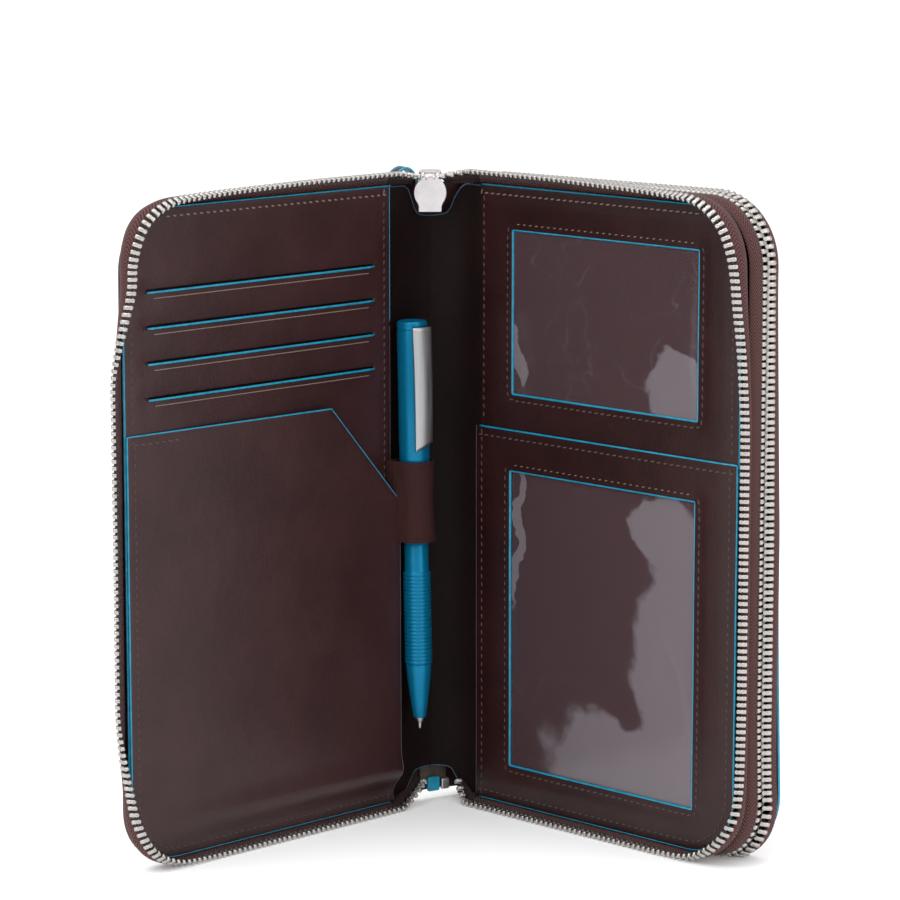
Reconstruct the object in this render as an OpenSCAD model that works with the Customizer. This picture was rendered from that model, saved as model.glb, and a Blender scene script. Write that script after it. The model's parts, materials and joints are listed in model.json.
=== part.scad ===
// Double zip-around travel wallet for passports, standing open on its lower edge.
// The middle wall and the back cover lie along +X, the front cover along -Y.

/* [Pages] */
// Width of each inner page, from its hinge-side edge to its outer edge
page_w = 114.5; // [110:0.5:120]
// Height of each inner page
page_h = 208; // [204:1:212]
// Corner radius of the pages on the outer side
page_r = 19; // [14:1:22]
// Width of the free hinge strip between a hinge line and its page
strip_w = 11.5; // [11:0.25:13]
// Gap between the facing pages when the front compartment is shut
closed_gap = 14.4; // [14.2:0.1:15]
// Angle by which the spine is turned from its shut place
spine_turn = 15; // [12:1:20]

/* [Layers] */
// Thickness of the outer leather
leather_t = 1; // [0.8:0.1:1]
// Thickness of the card stiffeners
board_t = 1; // [1:0.1:1.2]
// Thickness of the inner page leather
panel_t = 0.8; // [0.6:0.1:0.8]
// Thickness of the thin linings
lining_t = 0.5; // [0.4:0.1:0.5]
// Thickness of the clear films
film_t = 0.3; // [0.2:0.05:0.3]

/* [Front page] */
// Width of each card slot
slot_w = 97.6; // [90:0.2:98]
// Distance from the page's hinge-side edge to the slots
slot_inset = 7.6; // [7:0.1:9]
// Height of the lowest card slot above the bottom of the page
slot_z = 148.1; // [146:0.1:150]
// Distance from one card slot to the next
slot_pitch = 11.3; // [10:0.1:12]
// Height of the top edge of the passport pocket
pocket_z = 137.5; // [132:0.5:140]
// Width of the pocket's slanted corner
slant_w = 30; // [24:1:36]
// Height of the pocket's slanted corner
slant_h = 34; // [28:1:40]

/* [Middle page] */
// Width of both windows
window_w = 81.7; // [76:0.1:86]
// Distance from the page's hinge-side edge to the windows
window_inset = 15.5; // [14:0.1:17]
// Bottom of the lower window
lower_window_z = 13.1; // [12:0.1:15]
// Height of the lower window
lower_window_h = 100.7; // [96:0.1:101]
// Top edge of the lower window pocket
lower_pocket_z = 127.3; // [124:0.1:129]
// Bottom of the upper window
upper_window_z = 139.2; // [136:0.1:141]
// Height of the upper window
upper_window_h = 54.7; // [50:0.1:56]

/* [Zips] */
// How far the tape stands outside the page's edges
tape_out = 3; // [2.5:0.1:3.5]
// How far the tape stands below the page's lower edge
tape_under = 2.8; // [2:0.1:2.9]
// Thickness of the zip tape
tape_t = 0.9; // [0.7:0.1:1]
// Height of the bare tape above the front pages
tape_rise = 4.3; // [4:0.1:4.4]
// Length of a tooth, across the zip
tooth_l = 2.6; // [2.2:0.1:2.6]
// Width of a tooth, along the zip
tooth_w = 1.2; // [1:0.1:1.3]
// Thickness of a tooth
tooth_t = 2; // [1.8:0.1:2.4]
// Distance from one tooth to the next
tooth_pitch = 2.17; // [2.1:0.01:2.6]

/* [Rear compartment] */
// Depth of the unit between its page and the outer face of the back cover
unit_depth = 17; // [17:0.5:20]

/* [Pen] */
// Diameter of the upper barrel
pen_d = 10.2; // [9:0.1:10.2]
// Diameter of the lower barrel where it leaves the upper one
pen_low_d = 8.1; // [7.6:0.1:8.4]
// Diameter of the ringed grip
grip_d = 9.2; // [8.8:0.1:9.4]
// Height of the pen's point above the bottom of the page
pen_tip_z = 25.9; // [22:0.1:30]
// Lean of the pen away from the front page
pen_lean = 1.46; // [0:0.01:1.5]

/* [Hidden] */
$fn = 64;
eps = 0.01;

// Hinge lines: the middle wall's, the front cover's and the back cover's.
middle_x = closed_gap * sin(spine_turn);
front_y = -closed_gap * cos(spine_turn);
back_y = unit_depth - 1.5;
// No cover piece comes nearer than this to its hinge line.
hinge_clear = 1.2;

// Far edge of a page, from its hinge line.
page_end = strip_w + page_w;
leather_out = 0.9;
board_inset = 5;
flange_inset = board_inset - 0.2;

// Depths behind the front page's face.
front_board_d = -panel_t - 2 * lining_t - board_t;
front_leather_d = front_board_d - leather_t;
// Depths behind the middle page's face.
upper_panel_d = -2 * panel_t;
middle_backing_d = upper_panel_d - film_t - lining_t;
middle_board_d = middle_backing_d - board_t;
middle_rear_d = middle_board_d - panel_t;
// Depths of the back cover's layers, counted from the middle page's face.
back_leather_d = -unit_depth;
back_board_d = back_leather_d + leather_t;
back_lining_d = back_board_d + board_t;
back_pocket_d = back_lining_d + lining_t;
// The two rows of the shut rear zip meet with this gap.
zip_play = 0.3;
rear_teeth_mid_d = -11.5;
rear_inner_teeth_d = rear_teeth_mid_d + zip_play / 2;
rear_outer_teeth_d = rear_teeth_mid_d - zip_play / 2 - tooth_l;

// Zip sliders: two plates with the chain between them, lugs with a pin, and a puller on the pin.
slider_l = 8.4;
slider_w = 7.4;
plate_t = 0.9;
chain_gap = 2.4;
pin_z = 0.2;
pin_x = -5.9;
pin_d = 1.1;
eye_d = 3;
eye_bore = 1.2;
puller_t = 1.2;

// The front slider sits across the top of the spine.
front_slider_at = [0.7, -7.3];
front_slider_z = page_h + 2;

// The rear slider is parked on the outside of the gusset, next to the spine.
gusset_out = 0.8 + leather_t;
rear_slider_x = middle_x - gusset_out - plate_t - chain_gap / 2;
rear_slider_y = 8.5;
rear_slider_z = 20;

// The origin is under the middle of the whole object's box.
tape_mid = tape_out - tape_t / 2;
front_slider_reach = (slider_l + slider_w) / 2 * sin(45);
x_low = min(front_leather_d, rear_slider_x - chain_gap / 2 - plate_t,
            front_slider_at.x - front_slider_reach);
x_high = middle_x + page_end + tape_mid + tooth_t / 2;
y_low = front_y - page_end - tape_mid - tooth_t / 2;
y_high = unit_depth;
shift = [-(x_low + x_high) / 2, -(y_low + y_high) / 2, tape_under];

leather_col = [0.27, 0.18, 0.18];
lining_col = [0.17, 0.12, 0.13];
tape_col = [0.36, 0.22, 0.21];
blue_col = [0.12, 0.55, 0.72];
metal_col = [0.8, 0.79, 0.77];
board_col = [0.55, 0.5, 0.42];
film_col = [0.55, 0.5, 0.52, 0.5];

// ---------- places ----------
// A cover's own frame has its hinge line on Z, its width along +X, its inner face towards -Y.
module place() translate(shift) children();
module on_middle() place() translate([middle_x, 0, 0]) children();
module on_front() place() translate([0, front_y, 0]) mirror([1, 1, 0]) children();
// The spine's frame has the middle hinge line on Z and its width along +X, inner side -Y.
module on_spine() place() translate([middle_x, 0, 0]) rotate([0, 0, -90 - spine_turn])
  mirror([0, 1, 0]) children();

// ---------- outlines ----------
// Rectangle in width and height whose two outer corners are round.
module round_outline(x0, x1, z0, z1, r) {
  translate([x0, z0]) square([x1 - x0 - r, z1 - z0]);
  translate([x1 - r - eps, z0 + r]) square([r + eps, z1 - z0 - 2 * r]);
  for (z = [z0 + r, z1 - r]) translate([x1 - r, z]) circle(r);
}

// Page outline, let out by g, starting at x0 on the hinge side.
module page_outline(x0, g = 0) {
  round_outline(x0, page_end + g, -min(g, tape_under), page_h + g, page_r + g);
}

// Stands a flat outline up and gives it depth, from d0 to d1 towards the reader's side.
module slab(d0, d1) translate([0, -d0, 0]) rotate([90, 0, 0]) linear_extrude(d1 - d0) children();

// A box by two corners, in width, depth and height.
module block(x, d, z) translate([x[0], -d[1], z[0]]) cube([x[1] - x[0], d[1] - d[0], z[1] - z[0]]);

// Ring of tape around three sides, from depth d0 to d1, with a sewn flange from f0 to f1.
module tape_ring(d0, d1, f0, f1) {
  module outer() round_outline(strip_w + tape_t, page_end + tape_out, -tape_under, page_h + tape_out,
                               page_r + tape_out);
  module bore(g) round_outline(strip_w - 1, page_end + g, max(-tape_under + tape_t, -g),
                               page_h + g, page_r + g);
  slab(d0, d1) difference() { outer(); bore(tape_out - tape_t); }
  slab(f0, f1) difference() { outer(); bore(-flange_inset); }
}

// Centre line of the tape wall: straight runs at the bottom and top, arcs and a side run.
arc_r = page_r + tape_mid;
run_x0 = strip_w + tooth_pitch;
run_x1 = page_end - page_r;
low_z = -tape_under + tape_t / 2;
high_z = page_h + tape_mid;
side_x = page_end + tape_mid;
run_n = floor((run_x1 - run_x0) / tooth_pitch);
arc_n = round(arc_r * PI / 2 / tooth_pitch);
side_n = floor((high_z - low_z - 2 * arc_r) / tooth_pitch);

// One row of teeth on a ring of tape, from depth d0 to d1; half shifts it by half a pitch.
module teeth_row(d0, d1, half = 0) {
  module tooth() translate([-tooth_w / 2, -d1, -tooth_t / 2]) cube([tooth_w, d1 - d0, tooth_t]);
  h = half * tooth_pitch / 2;
  // Keeps the lowest teeth off the floor, level with the tape's underside.
  lift = (tooth_t - tape_t) / 2;
  for (i = [0:run_n - 1]) {
    translate([run_x0 + i * tooth_pitch + h, 0, low_z + lift]) tooth();
    translate([run_x0 + i * tooth_pitch + h, 0, high_z]) tooth();
  }
  for (i = [0:arc_n - 1]) {
    a = (i + 0.5 + half / 2) * 90 / arc_n;
    translate([run_x1, 0, low_z + lift + arc_r]) rotate([0, -a, 0]) translate([0, 0, -arc_r])
      tooth();
    translate([run_x1, 0, high_z - arc_r]) rotate([0, a, 0]) translate([0, 0, arc_r]) tooth();
  }
  for (i = [1:side_n - 1])
    translate([side_x, 0, low_z + arc_r + i * tooth_pitch + h]) rotate([0, 90, 0]) tooth();
}

// ---------- front cover ----------
module front_cover_leather() color(leather_col) on_front()
  slab(front_leather_d, front_board_d) page_outline(hinge_clear, leather_out);

module front_cover_stiffener() color(board_col) on_front()
  slab(front_board_d, front_board_d + board_t)
    round_outline(strip_w, page_end - board_inset, board_inset, page_h - board_inset,
                  page_r - board_inset);

module front_page_backing() color(lining_col) on_front()
  slab(-panel_t - 2 * lining_t, -panel_t - lining_t) page_outline(hinge_clear);

slot_h = 1.6;
slot_zs = [for (i = [0:3]) slot_z + i * slot_pitch];
slot_x = [strip_w + slot_inset, strip_w + slot_inset + slot_w];
// A card pocket's lining is this much wider than its slot on each side.
pocket_margin = 3;
lowest_pocket_h = 48;

// Four flat pockets behind the card slots, side by side in height; the lowest is a card deep.
module card_pocket_linings() color(lining_col) on_front()
  for (i = [0:3]) {
    pocket_top = slot_zs[i] + 1.4;
    depth = i == 0 ? lowest_pocket_h : slot_pitch - 0.4;
    block([slot_x[0] - pocket_margin, slot_x[1] + pocket_margin], [-panel_t - lining_t, -panel_t],
          [pocket_top - depth, pocket_top]);
  }

module card_panel() color(leather_col) on_front() difference() {
  slab(-panel_t, 0) page_outline(strip_w);
  for (z = slot_zs)
    block(slot_x, [-panel_t - 1, 1], [z - slot_h / 2, z + slot_h / 2]);
}

module card_slot_edges() color(blue_col) on_front()
  for (z = slot_zs) block(slot_x, [-panel_t, 0.15], [z - slot_h / 2, z]);

module passport_pocket() color(leather_col) on_front() slab(0, panel_t) intersection() {
  page_outline(strip_w);
  polygon([[strip_w, -tape_under], [page_end + 1, -tape_under], [page_end + 1, pocket_z],
           [strip_w + slant_w, pocket_z], [strip_w, pocket_z - slant_h]]);
}

module front_zip_tape() color(tape_col) on_front()
  tape_ring(front_board_d, tape_rise, front_board_d, front_board_d + board_t);

module front_zip_teeth() color(metal_col) on_front() teeth_row(tape_rise, tape_rise + tooth_l);

// ---------- pen ----------
// The pen's frame has its point at the origin and its length along +Z; the clip faces +X.
pen_x_at_loop = 7;
pen_y = front_y - 6.7;
loop_z = [90.1, 116.7];
loop_mid_z = (loop_z[0] + loop_z[1]) / 2;
loop_bore = 10.8;
loop_wall = 0.8;
nose_l = 22.4;
nose_tip_l = 3.8;
low_l = 55;
rise_l = 60.4;
crown_l = 3;
pen_top = nose_l + low_l + rise_l;
split_z = nose_l + low_l;
ring_n = 25;
ring_pitch = 1.24;
spigot_l = 14;
cap_bore = 7;
cap_bore_l = 53;
loop_tab_w = 1.4;
loop_tab_l = 6.2;

module on_pen() place() translate([pen_x_at_loop, pen_y, loop_mid_z]) rotate([0, -pen_lean, 0])
  translate([0, 0, pen_tip_z - loop_mid_z]) children();

module pen_loop() color(tape_col) {
  on_pen() translate([0, 0, loop_z[0] - pen_tip_z]) difference() {
    union() {
      cylinder(h = loop_z[1] - loop_z[0], d = loop_bore + 2 * loop_wall);
      translate([-loop_bore / 2 - loop_wall, -loop_tab_l, 0])
        cube([loop_tab_w, loop_tab_l, loop_z[1] - loop_z[0]]);
    }
    translate([0, 0, -1]) cylinder(h = 40, d = loop_bore);
  }
}

// Ringed grip, smooth neck and a spigot that turns inside the upper barrel.
module pen_lower_barrel() color(blue_col) on_pen() rotate_extrude() difference() {
  union() {
    translate([0, nose_l]) square([pen_low_d / 2, low_l]);
    translate([0, nose_l]) square([grip_d / 2, ring_n * ring_pitch]);
    translate([0, split_z - eps]) square([cap_bore / 2 - 0.05, spigot_l]);
  }
  translate([-1, 0]) square([3.1, pen_top]);
  for (i = [1:ring_n - 1])
    translate([grip_d / 2 - 0.3, nose_l + i * ring_pitch - 0.2]) square([1, 0.4]);
}

module pen_nose() color(blue_col) on_pen() rotate_extrude() difference() {
  polygon([[0.6, nose_tip_l - 2.6], [1.1, nose_tip_l - 2.6], [2, nose_tip_l], [3.4, nose_l * 0.62],
           [4.3, nose_l], [0.6, nose_l]]);
  translate([-1, nose_tip_l]) square([2.4, nose_l]);
}

module pen_upper_barrel() color(blue_col) on_pen() rotate_extrude() difference() {
  translate([0, split_z]) square([pen_d / 2, rise_l - crown_l]);
  translate([-1, split_z - 1]) square([1 + cap_bore / 2, cap_bore_l]);
}

module pen_crown() color(blue_col) on_pen() translate([0, 0, pen_top - crown_l]) difference() {
  cylinder(h = crown_l, d = pen_d);
  for (s = [0:1]) mirror([0, s, 0]) translate([-10, pen_d / 2 - 0.6, 1.4]) cube([20, 2, 3]);
}

// Flat sprung clip with a slanted lower end, held at the top by a short neck.
clip_w = 7.2;
clip_l = 41;
clip_turn = -14;
module pen_clip() color(metal_col) on_pen() rotate(clip_turn)
  translate([0, 0, pen_top - 2.2 - clip_l]) {
  translate([pen_d / 2 + 1.1, clip_w / 2, 0]) rotate([90, 0, 0]) linear_extrude(clip_w)
    polygon([[0, 3.2], [0, clip_l - 1], [1.2, clip_l - 1], [1.2, 0]]);
  translate([pen_d / 2, -clip_w / 2, clip_l - 6]) cube([1.2, clip_w, 5]);
}

module pen_refill() color(metal_col) on_pen() {
  cylinder(h = nose_tip_l + 1, d = 1);
  translate([0, 0, nose_tip_l + 0.9]) cylinder(h = 62, d = 2.4);
}

// ---------- middle wall ----------
module window(z, h) block([strip_w + window_inset, strip_w + window_inset + window_w],
                          [-20, 20], [z, z + h]);

film_margin = 2.6;
module film(z, h, d) block([strip_w + window_inset - film_margin,
                            strip_w + window_inset + window_w + film_margin],
                           [d - film_t, d], [z - film_margin, z + h + film_margin]);

module middle_stiffener() color(board_col) on_middle()
  slab(middle_board_d, middle_board_d + board_t)
    round_outline(strip_w, page_end - board_inset, board_inset, page_h - board_inset,
                  page_r - board_inset);

module middle_page_backing() color(lining_col) on_middle()
  slab(middle_backing_d, middle_backing_d + lining_t) page_outline(hinge_clear);

module upper_window_panel() color(leather_col) on_middle() difference() {
  slab(upper_panel_d, upper_panel_d + panel_t) intersection() {
    page_outline(strip_w);
    translate([0, lower_pocket_z - 6]) square([page_end + 10, page_h]);
  }
  window(upper_window_z, upper_window_h);
}

module upper_window_film() color(film_col) on_middle()
  film(upper_window_z, upper_window_h, upper_panel_d);

module lower_window_pocket() color(leather_col) on_middle() difference() {
  slab(-panel_t, 0) intersection() {
    page_outline(strip_w);
    translate([0, -2]) square([page_end + 10, lower_pocket_z + 2]);
  }
  window(lower_window_z, lower_window_h);
}

module lower_window_film() color(film_col) on_middle()
  film(lower_window_z, lower_window_h, -panel_t);

module middle_zip_tape() color(tape_col) on_middle()
  tape_ring(middle_board_d + board_t / 2, tape_rise, middle_board_d + board_t / 2,
            middle_board_d + board_t);

module middle_zip_teeth() color(metal_col) on_middle() teeth_row(tape_rise, tape_rise + tooth_l, 1);

module middle_rear_lining() color(lining_col) on_middle()
  slab(middle_rear_d, middle_board_d) page_outline(-0.2);

module rear_zip_inner_tape() color(tape_col) on_middle()
  tape_ring(rear_inner_teeth_d + tooth_l, middle_board_d + board_t / 2, middle_board_d,
            middle_board_d + board_t / 2);

module rear_zip_inner_teeth() color(metal_col) on_middle()
  teeth_row(rear_inner_teeth_d, rear_inner_teeth_d + tooth_l);

// Side wall of the rear compartment, next to the spine.
gusset_d = [-back_y + 0.5, middle_board_d];
module rear_gusset_leather() color(leather_col) on_middle()
  block([-gusset_out, -0.8], gusset_d, [-tape_under, page_h + leather_out]);

module rear_gusset_lining() color(lining_col) on_middle()
  block([-0.8, -0.2], gusset_d, [0, page_h]);

// ---------- back cover ----------
module back_cover_leather() color(leather_col) on_middle()
  slab(back_leather_d, back_board_d) page_outline(hinge_clear, leather_out);

module back_cover_stiffener() color(board_col) on_middle()
  slab(back_board_d, back_lining_d)
    round_outline(strip_w, page_end - board_inset, board_inset, page_h - board_inset,
                  page_r - board_inset);

module back_cover_lining() color(lining_col) on_middle()
  slab(back_lining_d, back_pocket_d) page_outline(hinge_clear);

// The pocket's edges stay clear of the zip's teeth.
boarding_pocket_z = 148;
boarding_pocket_inset = 1.6;
module boarding_pass_pocket() color(leather_col) on_middle()
  slab(back_pocket_d, back_pocket_d + panel_t) intersection() {
    page_outline(strip_w, -boarding_pocket_inset);
    square([page_end, boarding_pocket_z]);
  }

module back_zip_tape() color(tape_col) on_middle()
  tape_ring(back_board_d, rear_outer_teeth_d, back_board_d, back_lining_d);

module back_zip_teeth() color(metal_col) on_middle()
  teeth_row(rear_outer_teeth_d, rear_outer_teeth_d + tooth_l, 1);

// ---------- spine ----------
spine_x = [hinge_clear, closed_gap - hinge_clear];
spine_mid = closed_gap / 2;
notch_r = 4.6;
notch_deep = 11;
arch_z = 9.5;
arch_r = 5.2;
spine_lining_t = 0.6;
spine_leather_d = -spine_lining_t - board_t - leather_t;

module spine_leather() color(leather_col) on_spine()
  block(spine_x, [spine_leather_d, spine_leather_d + leather_t], [0.4, page_h - 0.5]);

module spine_stiffener() color(board_col) on_spine()
  block([spine_x[0] + 1, spine_x[1] - 1], [spine_leather_d + leather_t, -spine_lining_t],
        [3, page_h - 14]);

// Lining with a scooped top for the zip's end and an arch at the foot.
module spine_lining() color(lining_col) on_spine() difference() {
  notch_z = page_h - notch_deep + notch_r;
  block(spine_x, [-spine_lining_t, 0], [0, page_h - 1]);
  block([spine_mid - notch_r, spine_mid + notch_r], [-2, 2], [notch_z, page_h + 1]);
  translate([spine_mid, 2, notch_z]) rotate([90, 0, 0]) cylinder(h = 4, r = notch_r);
  block([spine_mid - arch_r, spine_mid + arch_r], [-2, 2], [-1, arch_z - arch_r]);
  translate([spine_mid, 2, arch_z - arch_r]) rotate([90, 0, 0]) cylinder(h = 4, r = arch_r);
}

// Folded ends of the front zip: a tab in the front cover's top, a tab and a stop at the foot.
module zip_end_tab_top() color(blue_col) on_front()
  block([hinge_clear + 0.2, 7], [front_board_d + 0.1, front_board_d + tape_t],
        [page_h - 13, page_h + 2.4]);

module zip_end_tab_bottom() color(blue_col) on_spine()
  block([spine_mid - 1.8, spine_mid + 3], [0, 1], [0.6, 5.4]);

module zip_end_stop() color(metal_col) on_spine()
  block([spine_mid - 5.4, spine_mid - 2.2], [0, 1.5], [0.8, 4.6]);

// ---------- zip sliders ----------
// A slider's frame has the chain running along X through its middle, tape level at z = 0.
lug_r = 0.9;
lug_y = 1.9;
module slider_body() difference() {
  union() {
    for (z = [-chain_gap / 2 - plate_t, chain_gap / 2])
      translate([-slider_l / 2, -slider_w / 2, z]) cube([slider_l, slider_w, plate_t]);
    translate([1.6, -1.1, -chain_gap / 2 - eps]) cube([2.4, 2.2, chain_gap + 2 * eps]);
    for (y = [-lug_y - 1, lug_y]) translate([pin_x - lug_r, y, pin_z - lug_r])
      cube([-slider_l / 2 - pin_x + lug_r + 1, 1, chain_gap / 2 + plate_t - pin_z + lug_r]);
  }
  translate([pin_x, -4, pin_z]) rotate([-90, 0, 0]) cylinder(h = 8, d = pin_d);
}

module slider_pin() translate([pin_x, -lug_y - 1, pin_z]) rotate([-90, 0, 0])
  cylinder(h = 2 * lug_y + 2, d = pin_d);

// Puller with an eye on the pin, a round head and a narrower square tail, lying along -X.
puller_l = 11.6;
head_x = -5.1;
head_d = 10.4;
tail_w = 7.8;
eye_w = 3.4;
// The notch lets the head swing past the lugs.
notch = [2.4, 2 * lug_y + 2.6];
module puller() translate([pin_x, 0, pin_z]) difference() {
  union() {
    translate([0, -eye_w / 2, 0]) rotate([-90, 0, 0]) cylinder(h = eye_w, d = eye_d);
    translate([-notch.x - 0.6, -eye_w / 2, -puller_t / 2]) cube([notch.x + 0.6, eye_w, puller_t]);
    difference() {
      translate([0, 0, -puller_t / 2]) {
        translate([head_x, 0, 0]) cylinder(h = puller_t, d = head_d);
        translate([-puller_l, -tail_w / 2, 0]) cube([puller_l + head_x, tail_w, puller_t]);
      }
      translate([-notch.x, -notch.y / 2, -3]) cube([10, notch.y, 6]);
    }
  }
  translate([0, -3, 0]) rotate([-90, 0, 0]) cylinder(h = 6, d = eye_bore);
}

// The front slider sits slantwise across the top of the spine, its puller side towards the opening.
module on_front_slider() place() translate([front_slider_at.x, front_slider_at.y, front_slider_z])
  rotate([0, 0, 135]) children();
module on_rear_slider() place() translate([rear_slider_x, rear_slider_y, rear_slider_z])
  rotate([0, -90, 0]) children();

// The two halves of the rear zip's tape run up the gusset, below and above the slider.
end_tape_t = 0.6;
end_tape_w = 2.2;
end_tape_y = 2.5;
end_tape_top = 32;
module rear_zip_end_tape() color(tape_col) place()
  for (s = [-1, 1], z = [[-tape_under, rear_slider_z - slider_l / 2 - 0.1],
                         [rear_slider_z + slider_l / 2 + 0.1, end_tape_top]])
    translate([middle_x - gusset_out - end_tape_t, rear_slider_y + s * end_tape_y - end_tape_w / 2, z[0]])
      cube([end_tape_t, end_tape_w, z[1] - z[0]]);

module zip_slider_front() color(metal_col) on_front_slider() slider_body();
module zip_slider_front_pin() color(metal_col) on_front_slider() slider_pin();
module zip_puller_front() color(metal_col) on_front_slider() translate([pin_x, 0, pin_z])
  rotate([0, -90, 0]) translate([-pin_x, 0, -pin_z]) puller();
module zip_slider_rear() color(metal_col) on_rear_slider() slider_body();
module zip_slider_rear_pin() color(metal_col) on_rear_slider() slider_pin();
module zip_puller_rear() color(metal_col) on_rear_slider() puller();

front_cover_leather();
front_cover_stiffener();
front_page_backing();
card_pocket_linings();
card_panel();
card_slot_edges();
passport_pocket();
front_zip_tape();
front_zip_teeth();
pen_loop();
middle_stiffener();
middle_page_backing();
upper_window_panel();
upper_window_film();
lower_window_pocket();
lower_window_film();
middle_zip_tape();
middle_zip_teeth();
middle_rear_lining();
rear_zip_inner_tape();
rear_zip_inner_teeth();
rear_gusset_leather();
rear_gusset_lining();
back_cover_leather();
back_cover_stiffener();
back_cover_lining();
boarding_pass_pocket();
back_zip_tape();
back_zip_teeth();
spine_leather();
spine_stiffener();
spine_lining();
zip_end_tab_top();
zip_end_tab_bottom();
zip_end_stop();
zip_slider_front();
zip_slider_front_pin();
zip_puller_front();
rear_zip_end_tape();
zip_slider_rear();
zip_slider_rear_pin();
zip_puller_rear();
pen_lower_barrel();
pen_nose();
pen_upper_barrel();
pen_crown();
pen_clip();
pen_refill();
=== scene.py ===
import json
import math

import bpy
import numpy as np
from mathutils import Matrix, Vector, noise
from mathutils.geometry import delaunay_2d_cdt


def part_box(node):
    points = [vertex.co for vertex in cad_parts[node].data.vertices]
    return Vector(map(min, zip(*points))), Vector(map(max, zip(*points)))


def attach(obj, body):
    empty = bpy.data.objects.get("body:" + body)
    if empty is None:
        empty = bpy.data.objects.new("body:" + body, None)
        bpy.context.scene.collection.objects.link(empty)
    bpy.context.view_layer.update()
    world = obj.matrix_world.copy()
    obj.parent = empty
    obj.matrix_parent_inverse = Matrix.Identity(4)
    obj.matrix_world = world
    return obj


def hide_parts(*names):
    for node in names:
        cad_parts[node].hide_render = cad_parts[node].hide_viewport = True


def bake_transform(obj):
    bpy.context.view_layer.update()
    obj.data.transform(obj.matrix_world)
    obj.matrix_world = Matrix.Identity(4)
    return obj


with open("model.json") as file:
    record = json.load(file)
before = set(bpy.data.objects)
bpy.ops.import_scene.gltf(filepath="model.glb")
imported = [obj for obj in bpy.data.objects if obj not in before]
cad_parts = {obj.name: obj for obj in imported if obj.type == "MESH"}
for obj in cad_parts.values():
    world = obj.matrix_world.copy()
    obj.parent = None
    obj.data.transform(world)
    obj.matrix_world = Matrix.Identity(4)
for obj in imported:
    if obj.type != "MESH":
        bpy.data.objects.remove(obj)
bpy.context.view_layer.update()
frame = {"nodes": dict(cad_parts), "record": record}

MM = 0.001

# ---------------------------------------------------------------- places
JOINTS = {j["name"]: j for j in frame["record"]["behaviour"]["joints"]}


def mm(v):
    return np.array(v, float) / MM


CARD = [mm(c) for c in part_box("card_panel")]
LOWER = [mm(c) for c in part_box("lower_window_pocket")]
BACK = [mm(c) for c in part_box("back_cover_leather")]
HINGE_M = mm(JOINTS["spine_hinge"]["pos_m"])
HINGE_F = mm(JOINTS["front_cover_hinge"]["pos_m"])
PAGE_Z = CARD[0][2]
PAGE_H = CARD[1][2] - CARD[0][2]
STRIP = HINGE_F[1] - CARD[1][1]
PAGE_END = HINGE_F[1] - CARD[0][1]
PAGE_R = 19.0
UP = np.array([0, 0, 1.0])


class Place:
    """A frame in mm: t across the page from its hinge line, d towards the reader, z up."""

    def __init__(self, origin, t_dir, d_dir):
        self.o, self.t, self.d = (np.array(v, float) for v in (origin, t_dir, d_dir))

    def __call__(self, t, d, z):
        t, d, z = np.broadcast_arrays(*(np.asarray(v, float) for v in (t, d, z)))
        return self.o + t[..., None] * self.t + d[..., None] * self.d + z[..., None] * UP


FRONT = Place((CARD[1][0], HINGE_F[1], PAGE_Z), (0, -1, 0), (1, 0, 0))
MIDDLE = Place((HINGE_M[0], LOWER[0][1], PAGE_Z), (1, 0, 0), (0, -1, 0))
SPINE_AXIS = (HINGE_F - HINGE_M)[:2]
SPINE_W = np.linalg.norm(SPINE_AXIS)
SPINE_T = np.array([*(SPINE_AXIS / SPINE_W), 0])
SPINE = Place((HINGE_M[0], HINGE_M[1], PAGE_Z), SPINE_T, (-SPINE_T[1], SPINE_T[0], 0))


# ---------------------------------------------------------------- meshes
def new_mesh(name, verts, faces, material, smooth=True, uv=None):
    """An object from points in mm, with one material, and a UV per vertex if given."""
    mesh = bpy.data.meshes.new(name)
    mesh.from_pydata((np.asarray(verts, float) * MM).tolist(), [], [list(f) for f in faces])
    mesh.update()
    if smooth:
        mesh.polygons.foreach_set("use_smooth", [True] * len(mesh.polygons))
    if uv is not None:
        layer = mesh.uv_layers.new(name="UVMap")
        loops = np.empty(len(mesh.loops), int)
        mesh.loops.foreach_get("vertex_index", loops)
        layer.data.foreach_set("uv", np.asarray(uv, float)[loops].ravel())
    mesh.materials.append(material)
    obj = bpy.data.objects.new(name, mesh)
    bpy.context.scene.collection.objects.link(obj)
    return obj


def piece(obj, body, slot, *nodes):
    """An object that rides a body, and stands for some of the CAD's nodes."""
    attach(obj, body)
    if nodes:
        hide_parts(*nodes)


def blended(obj, bodies, span, slot, *nodes):
    """An object with its transform baked into its mesh, standing for some of the CAD's nodes. bodies and span
    are not used.
    """
    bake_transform(obj)
    if nodes:
        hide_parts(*nodes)


def arc(cx, cy, r, a0, a1, n):
    return [(cx + r * math.cos(math.radians(a)), cy + r * math.sin(math.radians(a)))
            for a in np.linspace(a0, a1, n)]


def page_outline(t0, grow=0.0, under=None, n=14):
    """Rectangle with its two outer corners round, counter-clockwise, let out by grow."""
    r = PAGE_R + grow
    t1, z0, z1 = PAGE_END + grow, -(grow if under is None else under), PAGE_H + grow
    return ([(t0, z0)] + arc(t1 - r, z0 + r, r, -90, 0, n)
            + arc(t1 - r, z1 - r, r, 0, 90, n) + [(t0, z1)])


def rect(t0, t1, z0, z1, r=0.0, n=5):
    if not r:
        return [(t0, z0), (t1, z0), (t1, z1), (t0, z1)]
    return (arc(t1 - r, z0 + r, r, -90, 0, n) + arc(t1 - r, z1 - r, r, 0, 90, n)
            + arc(t0 + r, z1 - r, r, 90, 180, n) + arc(t0 + r, z0 + r, r, 180, 270, n))


def unit(v):
    """Vectors divided by their lengths."""
    v = np.asarray(v, float)
    return v / np.linalg.norm(v, axis=-1, keepdims=True)


def distance_along(path):
    return np.concatenate([[0], np.cumsum(np.linalg.norm(np.diff(path, axis=0), axis=1))])


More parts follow.
